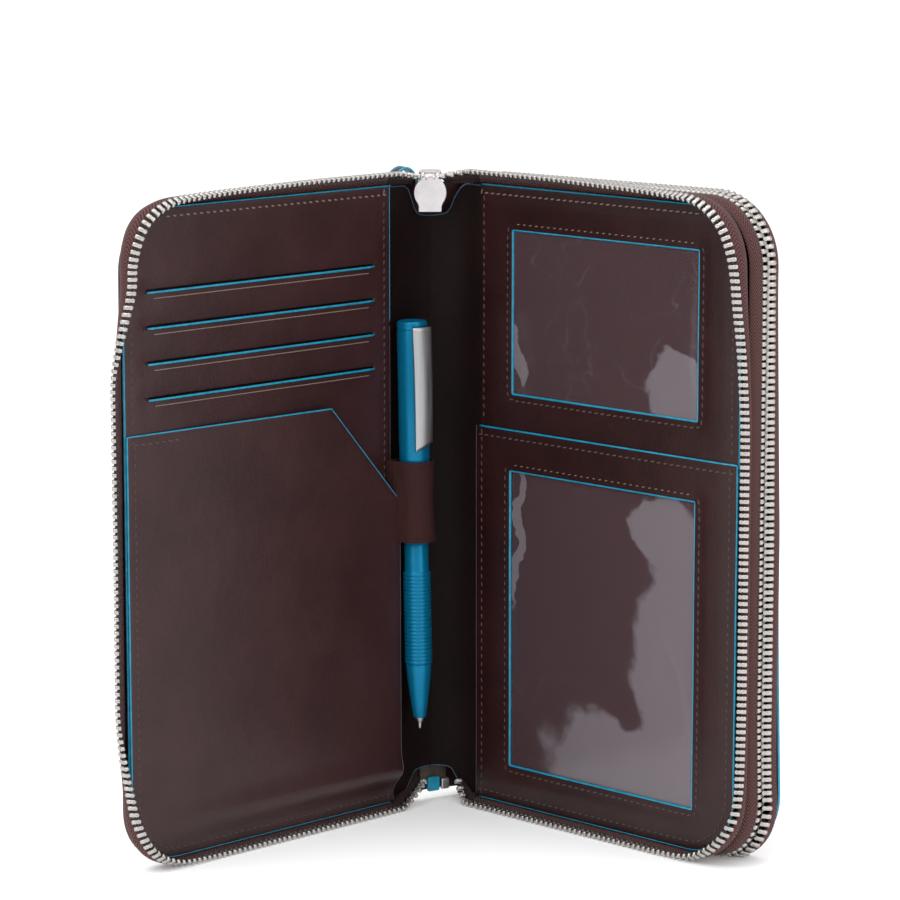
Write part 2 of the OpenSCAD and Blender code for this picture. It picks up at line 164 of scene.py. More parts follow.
def run_of(path, closed=False):
    """Direction of a path at each of its points."""
    if closed:
        return unit(np.roll(path, -1, 0) - np.roll(path, 1, 0))
    return unit(np.vstack([path[1:], path[-1:]]) - np.vstack([path[:1], path[:-1]]))


def left_of(loop):
    """Directions to the left of a closed (t, z) loop."""
    run = run_of(loop, closed=True)
    return np.stack([-run[:, 1], run[:, 0]], 1)


def offset(loop, g):
    """The loop moved to its left by g; counter-clockwise loops shrink."""
    loop = np.asarray(loop, float)
    return loop + left_of(loop) * g


def tube_faces(rings, m, closed=False):
    """Quads between rings of m points each, and the two end faces of an open tube."""
    faces = []
    for i in range(rings if closed else rings - 1):
        a, b = i * m, (i + 1) % rings * m
        faces += [(a + k, a + (k + 1) % m, b + (k + 1) % m, b + k) for k in range(m)]
    if not closed:
        faces += [tuple(range(m))[::-1], tuple(range((rings - 1) * m, rings * m))]
    return faces


def copied(faces, size, copies):
    """The faces of copies of a mesh with size points, one after another."""
    return [tuple(i + k * size for i in f) for k in range(copies) for f in faces]


def resample(loop, step, closed=True):
    """Points along a polyline no further apart than step, with its corners kept."""
    pts = [np.array(p, float) for p in loop]
    ends = list(zip(pts, pts[1:] + pts[:1])) if closed else list(zip(pts, pts[1:]))
    out = []
    for a, b in ends:
        n = max(1, int(np.linalg.norm(b - a) / step + 0.5))
        out += [a + (b - a) * i / n for i in range(n)]
    if not closed:
        out.append(pts[-1])
    return np.array(out)


def inside(points, loop):
    x, y = points[:, 0], points[:, 1]
    found = np.zeros(len(points), bool)
    a = np.asarray(loop, float)
    b = np.roll(a, -1, 0)
    for (x0, y0), (x1, y1) in zip(a, b):
        crosses = (y0 > y) != (y1 > y)
        with np.errstate(divide="ignore", invalid="ignore"):
            found ^= crosses & (x < (x1 - x0) * (y - y0) / (y1 - y0) + x0)
    return found


def edge_distance(points, loops):
    """Distance of each point from the nearest edge of the loops."""
    best = np.full(len(points), 1e9)
    for loop in loops:
        a = np.asarray(loop, float)
        b = np.roll(a, -1, 0)
        for p, q in zip(a, b):
            d = q - p
            u = np.clip(((points - p) @ d) / max(d @ d, 1e-12), 0, 1)
            best = np.minimum(best, np.linalg.norm(points - p - u[:, None] * d, axis=1))
    return best


def triangulate(loops, step, inset):
    """Points and triangles that fill loops[0], outside the holes that follow it."""
    def allowed(points):
        ok = inside(points, loops[0])
        for hole in loops[1:]:
            ok &= ~inside(points, hole)
        return ok
    sides = [np.arange(a + step / 2, b, step) for a, b in zip(loops[0].min(0), loops[0].max(0))]
    grid = np.stack(np.meshgrid(*sides), -1).reshape(-1, 2)
    rings, edges, base = [], [], 0
    for k, loop in enumerate(loops):
        n = len(loop)
        edges += [(base + i, base + (i + 1) % n) for i in range(n)]
        base += n
        area = np.sum(loop[:, 0] * np.roll(loop[:, 1], -1) - np.roll(loop[:, 0], -1) * loop[:, 1])
        inward = left_of(loop) * (1 if (area > 0) == (k == 0) else -1)
        rings += [loop + inward * g for g in inset]
    rings = np.concatenate(rings)
    rings = rings[allowed(rings) & (edge_distance(rings, loops) > 0.06)]
    grid = grid[allowed(grid) & (edge_distance(grid, loops) > max(inset) + 0.3 * step)]
    pts = np.concatenate(loops + [rings, grid])
    got = delaunay_2d_cdt([Vector(p) for p in pts], edges, [], 0, 1e-5)
    v = np.array([tuple(p) for p in got[0]])
    tris = np.array([f for f in got[2] if len(f) == 3])
    tris = tris[allowed(v[tris].mean(1))]
    p, q, r = (v[tris[:, i]] for i in range(3))
    flip = ((q - p)[:, 0] * (r - p)[:, 1] - (q - p)[:, 1] * (r - p)[:, 0]) < 0
    tris[flip] = tris[flip][:, ::-1]
    return v, tris


def panel(name, place, outline, holes, height, thick, material, step=2.0, rim=0.3, inset=(0.12, 0.4)):
    """Leather sheet cut to an outline with holes. height(t, z, edge) gives its face; its rim is round."""
    loops = [resample(outline, step)] + [resample(h, min(step, 1.5)) for h in holes]
    v, tris = triangulate(loops, step, inset)
    dist = edge_distance(v, loops)
    face = height(v[:, 0], v[:, 1], dist)
    top = face - rim * (1 - np.sqrt(1 - np.clip(1 - dist / rim, 0, 1) ** 2))
    verts = np.concatenate([place(v[:, 0], top, v[:, 1]), place(v[:, 0], face - thick, v[:, 1])])
    # (t, z) counter-clockwise faces the reader only when t x z points along d.
    front = tris if np.cross(place.t, UP) @ place.d > 0 else tris[:, ::-1]
    n = len(v)
    faces = front.tolist() + (front[:, ::-1] + n).tolist()
    sides = dict.fromkeys((a, b) for f in front for a, b in zip(f, np.roll(f, -1)))
    faces += [(b, a, a + n, b + n) for a, b in sides if (b, a) not in sides]
    return new_mesh(name, verts, faces, material, uv=np.concatenate([v, v]))


def sweep(name, path, section, material, closed=False, ups=UP):
    """Sweeps a closed section, points (side, up) in mm, along a path of 3-D points."""
    path, section = np.asarray(path, float), np.asarray(section, float)
    run = run_of(path, closed)
    side = unit(np.cross(run, np.broadcast_to(np.asarray(ups, float), path.shape)))
    up = np.cross(side, run)
    if section.ndim == 2:
        section = np.broadcast_to(section, (len(path), *section.shape))
    rings, m = section.shape[:2]
    verts = path[:, None] + section[..., :1] * side[:, None] + section[..., 1:] * up[:, None]
    uv = np.stack([np.repeat(distance_along(path), m), np.tile(np.arange(m, dtype=float), rings)], 1)
    return new_mesh(name, verts.reshape(-1, 3), tube_faces(rings, m, closed), material, uv=uv)


def oval(a, b, n=8):
    return [(a * math.cos(2 * math.pi * i / n), b * math.sin(2 * math.pi * i / n)) for i in range(n)]


def join(name, objs):
    """One object from several, keeping their materials."""
    bpy.ops.object.select_all(action="DESELECT")
    for o in objs:
        o.select_set(True)
    bpy.context.view_layer.objects.active = objs[0]
    bpy.ops.object.join()
    objs[0].name = name
    objs[0].data.name = name
    return objs[0]


def smoothstep(a, b, x):
    u = np.clip((np.asarray(x, float) - a) / (b - a), 0, 1)
    return u * u * (3 - 2 * u)


def ripple(t, z, scale, seed=0.0):
    """Smooth noise from -1 to 1, one value per point, with features about scale mm wide."""
    t, z = np.broadcast_arrays(np.asarray(t, float), np.asarray(z, float))
    return np.array([noise.noise(Vector((a / scale, b / scale, seed))) for a, b in zip(t.ravel(), z.ravel())]
                    ).reshape(t.shape)


# ---------------------------------------------------------------- materials
def material(name, **inputs):
    """A new material, its node tree and its shader, whose inputs are set by name (_ for a space)."""
    m = bpy.data.materials.new(name)
    m.use_nodes = True
    bsdf = m.node_tree.nodes["Principled BSDF"]
    for k, v in inputs.items():
        bsdf.inputs[k.replace("_", " ")].default_value = v
    return m, m.node_tree, bsdf


def add(nt, kind, links=(), **values):
    """A node with inputs (_ for a space) and settings by name, and links as (output, input name)."""
    n = nt.nodes.new(kind)
    for k, v in values.items():
        if k.replace("_", " ") in n.inputs:
            n.inputs[k.replace("_", " ")].default_value = v
        else:
            setattr(n, k, v)
    for out, name in links:
        nt.links.new(out, n.inputs[name])
    return n


def coords(nt, kind):
    return nt.nodes.new("ShaderNodeTexCoord").outputs[kind]


def texture(nt, kind, co, **values):
    return add(nt, "ShaderNodeTex" + kind, [(co, "Vector")], **values).outputs


def remap(nt, value, **limits):
    return add(nt, "ShaderNodeMapRange", [(value, "Value")], **limits).outputs["Result"]


def maths(nt, operation, *terms, kind="ShaderNodeMath"):
    """The result of a math node. A term is an output, or a plain value."""
    n = add(nt, kind, operation=operation)
    for i, term in enumerate(terms):
        if isinstance(term, bpy.types.NodeSocket):
            nt.links.new(term, n.inputs[i])
        else:
            n.inputs[i].default_value = term
    return n.outputs["Value" if operation == "LENGTH" else 0]


def colours(nt, bsdf, fac, *stops):
    """Colours the shader by fac, from (position, colour) stops."""
    n = add(nt, "ShaderNodeValToRGB", [(fac, "Fac")])
    while len(n.color_ramp.elements) < len(stops):
        n.color_ramp.elements.new(0.5)
    for e, (pos, col) in zip(n.color_ramp.elements, stops):
        e.position = pos
        e.color = (*col, 1)
    nt.links.new(n.outputs["Color"], bsdf.inputs["Base Color"])


def bumps(nt, bsdf, *layers):
    """Bumps on the shader from (height, strength, distance) layers, each laid over the one before."""
    links = []
    for height, strength, distance in layers:
        n = add(nt, "ShaderNodeBump", [(height, "Height"), *links], Strength=strength, Distance=distance)
        links = [(n.outputs["Normal"], "Normal")]
    nt.links.new(n.outputs["Normal"], bsdf.inputs["Normal"])


def shade(colour, by):
    return tuple(c * by for c in colour)


def leather(name, dark, light, rough=0.34, grain=1.0, coat=0.06, gloss=0.36):
    """Polished calf: fine pebble grain, faint creases, cloudy colour and uneven gloss."""
    m, nt, bsdf = material(name, Coat_Weight=coat, Coat_Roughness=0.2, Specular_IOR_Level=gloss)
    co = coords(nt, "Object")
    cloud = texture(nt, "Noise", co, Scale=38.0, Detail=4.0, Roughness=0.6)["Fac"]
    fine = texture(nt, "Noise", co, Scale=900.0, Detail=3.0, Roughness=0.6)["Fac"]
    pebble = texture(nt, "Voronoi", co, Scale=1500.0, feature="SMOOTH_F1", Smoothness=0.6)["Distance"]
    colours(nt, bsdf, cloud, (0.3, dark), (0.75, light))
    nt.links.new(remap(nt, fine, To_Min=rough - 0.05, To_Max=rough + 0.09), bsdf.inputs["Roughness"])
    bumps(nt, bsdf, (pebble, 0.10 * grain, 0.0003), (fine, 0.16 * grain, 0.0004),
          (cloud, 0.25 * min(1, grain), 0.0012))
    return m


def speckled(name, scale, detail, stops, bump=None, **inputs):
    """A material with a noise in its colour and, if bump gives (strength, distance), in its surface."""
    m, nt, bsdf = material(name, **inputs)
    spots = texture(nt, "Noise", coords(nt, "Object"), Scale=scale, Detail=detail)["Fac"]
    colours(nt, bsdf, spots, *stops)
    if bump:
        bumps(nt, bsdf, (spots, *bump))
    return m


def paint(name, colour, rough=0.3):
    """Edge paint: a thick glossy bead with faint brush marks."""
    return speckled(name, 420.0, 3.0, [(0.35, shade(colour, 0.72)), (0.65, colour)], (0.3, 0.0002),
                    Roughness=rough)


def satin_paint(name, colour, rough=0.32):
    """Anodised metal: strong colour, satin gloss, very fine turning marks."""
    return speckled(name, 1400.0, 3.0, [(0.3, shade(colour, 0.85)), (0.7, colour)], (0.12, 0.0001),
                    Metallic=0.45, Roughness=rough, Specular_IOR_Level=0.2, Coat_Weight=0.05,
                    Coat_Roughness=0.3)


def thread_material(name, colour):
    """Waxed thread with a fine twist."""
    m, nt, bsdf = material(name, Roughness=0.6, Sheen_Weight=0.2)
    twist = texture(nt, "Wave", coords(nt, "Object"), Scale=1500.0, Distortion=1.5,
                    bands_direction="DIAGONAL")["Fac"]
    colours(nt, bsdf, twist, (0.2, shade(colour, 0.55)), (0.8, colour))
    bumps(nt, bsdf, (twist, 0.5, 0.0002))
    return m


def tape_material(name, dark, light):
    """Woven zip tape. The UV runs along and across the tape in mm, so the herringbone follows it."""
    m, nt, bsdf = material(name, Roughness=0.8, Specular_IOR_Level=0.25, Sheen_Weight=0.08,
                           Sheen_Roughness=0.4)
    xy = add(nt, "ShaderNodeSeparateXYZ", [(coords(nt, "UV"), "Vector")]).outputs
    lean = maths(nt, "MULTIPLY", maths(nt, "PINGPONG", xy["Y"], 2.4), 1.1)
    rib = maths(nt, "MULTIPLY", maths(nt, "ADD", xy["X"], lean), 2 * math.pi / 1.15)
    level = remap(nt, maths(nt, "SINE", rib), From_Min=-1)
    fuzz = texture(nt, "Noise", coords(nt, "Object"), Scale=2600.0, Detail=2.0)["Fac"]
    mix = add(nt, "ShaderNodeMix", [(level, "Factor")], data_type="RGBA", A=(*dark, 1), B=(*light, 1))
    tone = add(nt, "ShaderNodeMix", [(fuzz, "Factor"), (mix.outputs["Result"], "A")], data_type="RGBA",
               blend_type="MULTIPLY", B=(0.7, 0.7, 0.7, 1))
    nt.links.new(tone.outputs["Result"], bsdf.inputs["Base Color"])
    bumps(nt, bsdf, (level, 0.7, 0.0003), (fuzz, 0.3, 0.0002))
    return m


def metal(name, colour, rough, brushed=0.0, scale=600.0):
    """Bright or satin metal with fine scratches and slight tarnish."""
    m, nt, bsdf = material(name, Metallic=1.0)
    co = add(nt, "ShaderNodeMapping", [(coords(nt, "Object"), "Vector")],
             Scale=(1, 1, 0.06 if brushed else 1)).outputs["Vector"]
    marks = texture(nt, "Noise", co, Scale=scale, Detail=4.0)["Fac"]
    colours(nt, bsdf, marks, (0.25, shade(colour, 0.82)), (0.7, colour))
    nt.links.new(remap(nt, marks, To_Min=rough * 0.75, To_Max=rough * 1.35), bsdf.inputs["Roughness"])
    bumps(nt, bsdf, (marks, 0.08 + brushed, 0.0001))
    return m


def film_material(name, bright, wrinkles):
    """Clear vinyl, a little milky, with highlights painted into its colour. bright lists the patches of
    painted highlight, where it would catch the light, in UV mm: (t, z, t radius, z radius). Wrinkles are the
    contour lines of a noise, painted lighter as thin lines of highlight."""
    m, nt, bsdf = material(name, Alpha=0.82, Roughness=0.16, Specular_IOR_Level=0.4)
    vector = "ShaderNodeVectorMath"
    uv = coords(nt, "UV")
    warp = texture(nt, "Noise", uv, Scale=0.055, Detail=3.0)
    push = maths(nt, "MULTIPLY_ADD", warp["Color"], (26, 26, 0), (-13, -13, 0), kind=vector)
    moved = maths(nt, "ADD", uv, push, kind=vector)
    lines = texture(nt, "Noise", uv, Scale=0.045, Detail=2.0, Distortion=0.8)["Fac"]
    off = maths(nt, "ABSOLUTE", maths(nt, "SUBTRACT", lines, 0.5))
    mask = remap(nt, off, From_Min=0.006, From_Max=0.002, To_Max=wrinkles)
    for t, z, rt, rz in bright:
        away = maths(nt, "SUBTRACT", moved, (t, z, 0), kind=vector)
        far = maths(nt, "LENGTH", maths(nt, "DIVIDE", away, (rt, rz, 1), kind=vector), kind=vector)
        painted_highlight = remap(nt, far, interpolation_type="SMOOTHSTEP", From_Min=1.06, From_Max=0.88)
        mask = maths(nt, "MAXIMUM", mask, painted_highlight)
    # The colour runs from the film's own tint to a lighter mauve-grey: painted highlights in the bright
    # patches and along the wrinkle lines.
    colours(nt, bsdf, mask, (0.0, (0.064, 0.037, 0.041)), (0.75, (0.125, 0.103, 0.114)),
            (1.0, (0.168, 0.142, 0.158)))
    bumps(nt, bsdf, (warp["Fac"], 0.15, 0.0006))
    return m


def elastic_material(name, dark, light):
    """Ribbed elastic: fine ribs along the band, with a knitted cross texture. The UV is in mm."""
    m, nt, bsdf = material(name, Roughness=0.75, Specular_IOR_Level=0.25)
    uv = coords(nt, "UV")
    ribs = texture(nt, "Wave", uv, Scale=0.55, bands_direction="X")["Fac"]
    knit = texture(nt, "Wave", uv, Scale=0.8, bands_direction="Y")["Fac"]
    both = maths(nt, "MULTIPLY", ribs, knit)
    colours(nt, bsdf, both, (0.1, dark), (0.8, light))
    bumps(nt, bsdf, (both, 0.6, 0.0003))
    return m


LEATHER = leather("leather_page", (0.0225, 0.0066, 0.0070), (0.038, 0.0132, 0.0140), gloss=0.3)
# A darker copy of the page leather for the window page: painted shade.
SHADED_LEATHER = leather("leather_window_page_painted_shade", (0.0150, 0.0038, 0.0038), (0.028, 0.0082, 0.0082),
                        gloss=0.27)
OUTER = leather("leather_outer", (0.0215, 0.0068, 0.0072), (0.036, 0.0135, 0.0142), rough=0.36)
LINING = leather("leather_lining", (0.0040, 0.0012, 0.0010), (0.0085, 0.0030, 0.0026), rough=0.55, grain=1.4,
                 coat=0.0, gloss=0.1)
BACKING = leather("window_backing_card", (0.034, 0.014, 0.015), (0.042, 0.019, 0.020), rough=0.7, grain=0.02,
                  coat=0.0, gloss=0.15)
BLUE = paint("edge_paint_blue", (0.005, 0.265, 0.43))
# A darker copy of the blue edge paint for the spine lining's edges deep between the pages: painted shade.
SHADED_BLUE = paint("edge_paint_blue_painted_shade", (0.004, 0.05, 0.085), rough=0.4)
# Grey paint for the page edges next to the spine and the passport pocket's free edge.
GREY_EDGE_PAINT = paint("edge_paint_grey", (0.075, 0.070, 0.088), rough=0.45)
BROWN_EDGE = paint("edge_paint_brown", (0.040, 0.016, 0.016), rough=0.4)
THREAD = thread_material("thread_tan", (0.24, 0.145, 0.105))
DARK_THREAD = thread_material("thread_brown", (0.060, 0.027, 0.022))
TAPE = tape_material("zip_tape_weave", (0.038, 0.0135, 0.013), (0.135, 0.056, 0.052))
# A darker copy of the tape weave for the zip's ends by the spine: painted shade.
SHADED_TAPE = tape_material("zip_tape_weave_painted_shade", (0.012, 0.004, 0.004), (0.045, 0.018, 0.017))
TEETH = metal("zip_teeth_metal", (0.50, 0.475, 0.455), 0.34)
PLATE = metal("zip_slider_metal", (0.55, 0.53, 0.525), 0.34)
PULL = metal("zip_puller_metal", (0.66, 0.635, 0.645), 0.42, scale=250.0)
CLIP = metal("pen_clip_metal", (0.42, 0.42, 0.43), 0.36, brushed=0.1, scale=900.0)
ELASTIC = elastic_material("ribbed_elastic", (0.016, 0.0035, 0.0035), (0.085, 0.020, 0.017))
TURQUOISE = satin_paint("pen_turquoise", (0.0, 0.172, 0.325))
BOARD = speckled("pressed_board", 300.0, 5.0, [(0.3, (0.035, 0.027, 0.022)), (0.7, (0.07, 0.055, 0.045))],
                 Roughness=0.9)

for board in ("front_cover_stiffener", "middle_stiffener", "back_cover_stiffener", "spine_stiffener"):
    for shown in frame["nodes"][board].material_slots:
        shown.material = BOARD


# ---------------------------------------------------------------- camera, light, floor
def camera():
    """The photograph's view: a long lens, a little above, level with the corner between the pages."""
    lens, pitch = 151.6, math.radians(9.56)
    away, right, above = 1261.0, 1.88, 329.4
    corner = np.array([CARD[1][0], LOWER[0][1], PAGE_Z])
    h = math.sqrt(0.5)
    place = corner + away * np.array([h, -h, 0]) + right * np.array([h, h, 0]) + [0, 0, above]
    look = Vector((-math.cos(pitch) * h, math.cos(pitch) * h, -math.sin(pitch)))
    cam = bpy.data.cameras.new("camera")
    cam.lens = lens
    cam.sensor_width = 36
    cam.clip_end = 20
    obj = bpy.data.objects.new("camera", cam)
    turn = look.to_track_quat("-Z", "Y").to_matrix().to_4x4()
    obj.matrix_world = Matrix.Translation(Vector(place * MM)) @ turn
    bpy.context.scene.collection.objects.link(obj)
    bpy.context.scene.camera = obj


def area_light(name, place, target, size, power):
    data = bpy.data.lights.new(name, "AREA")
    data.shape = "RECTANGLE"
    data.size, data.size_y = size
    data.energy = power
    obj = bpy.data.objects.new(name, data)
    obj.location = place
    obj.rotation_euler = (Vector(target) - Vector(place)).to_track_quat("-Z", "Y").to_euler()
    bpy.context.scene.collection.objects.link(obj)


def studio():
    world = bpy.data.worlds.new("studio")
    bpy.context.scene.world = world
    world.use_nodes = True
    world.node_tree.nodes["Background"].inputs["Color"].default_value = (1, 1, 1, 1)
    world.node_tree.nodes["Background"].inputs["Strength"].default_value = 1.0
    bpy.context.scene.view_settings.view_transform = "Standard"
    area_light("key", (-0.3, -1.3, 1.5), (0, 0, 0.08), (1.4, 1.0), 15)
    area_light("right", (1.6, 0.3, 1.0), (0, 0, 0.1), (1.2, 1.2), 8)
    area_light("top", (0.1, -0.1, 1.7), (0, 0, 0), (1.6, 1.6), 10)
    white = speckled("floor_white", 2.0, 2.0, [(0.0, (0.90, 0.90, 0.905)), (1.0, (0.93, 0.93, 0.93))],
                     Roughness=0.7, Emission_Color=(1, 1, 1, 1), Emission_Strength=0.12)
    far = 6000
    new_mesh("floor", [(-far, -far, 0), (far, -far, 0), (far, far, 0), (-far, far, 0)],
                      [(0, 1, 2, 3)], white, smooth=False)


camera()
studio()

# ---------------------------------------------------------------- stitches and painted edges
STITCH = 2.75


def stitches(name, place, line, height, material, long=2.1, fat=0.26):
    """Thread stitches along a line of (t, z) points, each a slanted bead sunk at both ends."""
    line = np.asarray(line, float)
    seg = np.diff(line, axis=0)
    start = distance_along(line)
    n = max(1, int(round(start[-1] / STITCH)))
    s = (np.arange(n) + 0.5) * start[-1] / n
    k = np.minimum(np.searchsorted(start, s, "right") - 1, len(seg) - 1)
    ahead = seg[k] / np.linalg.norm(seg, axis=1)[k, None]
    at = line[k] + ahead * (s - start[k])[:, None]
    slant = 0.16
    along = ahead * math.cos(slant) + np.stack([-ahead[:, 1], ahead[:, 0]], 1) * math.sin(slant)
    across = np.stack([-along[:, 1], along[:, 0]], 1)
    rings, m = 5, 6
    u = np.linspace(-1, 1, rings)
    thick = fat * np.sqrt(np.maximum(0.05, 1 - 0.9 * u * u))
    ang = np.linspace(0, 2 * math.pi, m, endpoint=False)
    centre = at[:, None] + along[:, None] * (long / 2 * u)[None, :, None]
    wide = (thick[:, None] * np.cos(ang))[None, :, :, None]
    p = centre[:, :, None] + across[:, None, None] * wide
    lift = (0.10 - 0.30 * u * u)[None, :, None] + thick[:, None] * np.sin(ang)
    verts = place(p[..., 0], height(p[..., 0], p[..., 1]) + lift, p[..., 1]).reshape(-1, 3)
    return new_mesh(name, verts, copied(tube_faces(rings, m), rings * m, n), material)


def stretches(line, keep):
    """The stretches of a closed line whose points are kept, each an open line in the same order."""
    keep = np.asarray(keep)
    if keep.all():
        return [np.vstack([line, line[:1]])]
    first = int(np.argmin(keep))
    line, keep = np.roll(line, -first, 0), np.roll(keep, -first)
    found, run = [], []
    for p, k in zip(line, keep):
        if k:
            run.append(p)
        elif run:
            found.append(run)
            run = []
    return [np.array(r) for r in found + [run] if len(r) > 2]


def bead(name, place, line, height, a=0.34, b=0.5, closed=False, drop=0.45, material=BLUE):
    """Painted edge: a rounded bead along a cut edge. line is (t, z) points, leather on its left."""
    line = np.asarray(line, float)
    run = run_of(line, closed)
    at = line + np.stack([run[:, 1], -run[:, 0]], 1) * 0.05
    d = height(line[:, 0], line[:, 1]) - drop
    return sweep(name, place(at[:, 0], d, at[:, 1]), oval(a, b, 10), material, closed=closed, ups=place.d)


def sewn(body, name, place, line, keep, height, material, **look):
    """Stitches along the kept stretches of a closed line, as one piece."""
    parts = [stitches(f"{name}_{i}", place, r, height, material, **look)
             for i, r in enumerate(stretches(line, keep))]
    piece(join(name, parts), body, "leather")


def beads(name, place, line, keep, height, **look):
    """Painted edges along the kept stretches of a closed line, as one object."""
    return join(name, [bead(f"{name}_{i}", place, r, height, **look)
                       for i, r in enumerate(stretches(line, keep))])


def painted(body, name, place, line, keep, height, **look):
    piece(beads(name, place, line, keep, height, **look), body, "edge_paint")


def with_edge(height, *loops):
    """A height function of (t, z) alone, which works out the distance from the edge itself."""
    def at(t, z):
        t, z = np.broadcast_arrays(np.asarray(t, float), np.asarray(z, float))
        p = np.stack([t.ravel(), z.ravel()], 1)
        return height(p[:, 0], p[:, 1], edge_distance(p, loops)).reshape(t.shape)
    return at


def cloth(name, body, node, place, outline, level, wave, thick, step, material=LINING):
    """A lining whose face stands at level. wave is the height, width and seed of its waves."""
    high, wide, seed = wave
    obj = panel(name, place, outline, [], lambda t, z, e: level + high * ripple(t, z, wide, seed), thick,
                material, step=step)
    piece(obj, body, "lining", node)


def groove(dist, at, width=0.45, deep=0.16):
    return -deep * np.exp(-((dist - at) / width) ** 2)


# ---------------------------------------------------------------- front page
SLOT_T = (STRIP + 7.6, STRIP + 7.6 + 97.6)
SLOT_Z = [148.1 + i * 11.3 for i in range(4)]
POCKET_Z, SLANT_W, SLANT_H = 137.5, 30.0, 34.0
SEAM = 2.7


def card_height(t, z, edge):
    """The card panel: each slot's lower lip stands a little proud of the strip above it."""
    h = groove(edge, SEAM) + 0.25 * smoothstep(0, 6, edge) + 0.12 * ripple(t, z, 34, 1.5)
    across = smoothstep(SLOT_T[0] - 6, SLOT_T[0] + 8, t) * (1 - smoothstep(SLOT_T[1] - 8, SLOT_T[1] + 6, t))
    for s in SLOT_Z:
        low = z < s
        lip = 0.55 * np.exp(-((s - z) / 4.5) ** 2) + groove(s - z, 1.9, 0.3, 0.14)
        h += across * np.where(low, lip, -0.35 * np.exp(-((z - s) / 3.0) ** 2))
    return h


def front_page():
    outline = page_outline(STRIP)
    slots = [rect(*SLOT_T, z - 0.15, z + 0.75) for z in SLOT_Z]
    obj = panel("front_page", FRONT, outline, slots, card_height, 0.8, LEATHER, step=1.9)
    piece(obj, "front_cover", "leather", "card_panel")
    at = with_edge(card_height, outline)
    edges, creases = [], []
    for i, s in enumerate(SLOT_Z):
        ts = np.linspace(*SLOT_T, 40)
        edges.append(sweep(f"slot_edge_{i}", FRONT(ts, at(ts, s - 0.3) - 0.22, s + 0.02),
                           oval(0.36, 0.44, 10), BLUE, ups=FRONT.d))
        ts = ts[1:-1]
        creases.append(sweep(f"crease_{i}", FRONT(ts, at(ts, s - 1.9) - 0.02, s - 1.9),
                             oval(0.17, 0.12, 6), THREAD, ups=FRONT.d))
    piece(join("card_slot_edges_blue", edges), "front_cover", "edge_paint", "card_slot_edges")
    piece(join("card_slot_creases", creases), "front_cover", "leather")
    line = resample(outline, 1.5)
    # Below the top, the edge next to the spine takes the grey paint.
    greyed = (line[:, 0] < STRIP + 0.2) & (line[:, 1] < PAGE_H - 45)
    painted("front_cover", "front_page_edge", FRONT, line, ~greyed, at, a=0.3, b=0.42)
    painted("front_cover", "front_page_worn_edge", FRONT, line, greyed, at, a=0.22, b=0.4, material=GREY_EDGE_PAINT)
    seam = offset(line, SEAM)
    bare = ~inside(seam, pocket_outline())
    top = seam[:, 1] > PAGE_H - SEAM - 0.3
    sewn("front_cover", "front_page_top_stitches", FRONT, seam, top, at, THREAD, fat=0.32)
    sewn("front_cover", "front_page_stitches", FRONT, seam, bare & ~top, at, DARK_THREAD)


def front_linings():
    """The page's backing, and the four card pockets' linings behind the slots."""
    cloth("front_page_lining", "front_cover", "front_page_backing", FRONT, page_outline(STRIP + 3, -0.6),
          -1.4, (0.06, 40, 2.2), 0.45, 6.0)
    parts = []
    for i, s in enumerate(SLOT_Z):
        deep = 48.0 if i == 0 else 10.9
        outline = rect(SLOT_T[0] - 3, SLOT_T[1] + 3, s + 1.4 - deep, s + 1.4, 0.8)
        parts.append(panel(f"card_lining_{i}", FRONT, outline, [],
                           lambda t, z, e: -0.95 + 0.05 * ripple(t, z, 18, 8.8), 0.35, LINING, step=4.0))
    piece(join("card_pocket_cloths", parts), "front_cover", "lining", "card_pocket_linings")


def pocket_outline():
    whole = page_outline(STRIP)
    low = [p for p in whole if p[1] < POCKET_Z]
    return low + [(PAGE_END, POCKET_Z), (STRIP + SLANT_W, POCKET_Z), (STRIP + 0.3, POCKET_Z - SLANT_H)]


def pocket_height(t, z, edge):
    """The passport pocket: sewn along the outer side and foot, free and proud on the spine side."""
    u = np.clip((PAGE_END - t) / (PAGE_END - STRIP), 0, 1)
    rise = smoothstep(3.6, 13, z)
    free = 3.9 * u ** 2.1 * rise
    belly = 0.9 * np.sin(math.pi * np.clip(u * 1.02, 0, 1)) * rise
    roll = 1.3 * np.exp(-((z - 11.0) / 4.0) ** 2) * smoothstep(0.02, 0.2, u)
    foot = groove(np.where(z < 8, z, 99), SEAM, 0.6, 0.25)
    side = groove(np.where(t > PAGE_END - 8, PAGE_END - t, 99), SEAM, 0.5, 0.2)
    return 1.1 + free + belly + roll + foot + side + 0.16 * ripple(t, z, 30, 4.2) * rise


def passport_pocket():
    outline = pocket_outline()
    obj = panel("passport_pocket_leather", FRONT, outline, [], pocket_height, 0.95, LEATHER)
    piece(obj, "front_cover", "leather", "passport_pocket")
    at = with_edge(pocket_height, outline)
    line = resample(outline, 1.5)
    free = (line[:, 0] < STRIP + 0.5) & (line[:, 1] < POCKET_Z - SLANT_H - 1)
    painted("front_cover", "passport_pocket_edge", FRONT, line, ~free, at, a=0.28, b=0.4)
    # The pocket's free edge takes the grey paint.
    painted("front_cover", "passport_pocket_free_edge", FRONT, line, free, at, a=0.22, b=0.4, material=GREY_EDGE_PAINT)
    seam = offset(line, SEAM)
    keep = (seam[:, 1] < POCKET_Z - 1) & ((seam[:, 0] > PAGE_END - 22) | (seam[:, 1] < 4))
    sewn("front_cover", "passport_pocket_stitches", FRONT, seam, keep, at, DARK_THREAD)


# ---------------------------------------------------------------- middle page
WINDOW_T = (STRIP + 15.5, STRIP + 15.5 + 81.7)
LOWER_WINDOW = (13.1, 13.1 + 100.7)
UPPER_WINDOW = (139.2, 139.2 + 54.7)
LOWER_TOP = 127.3


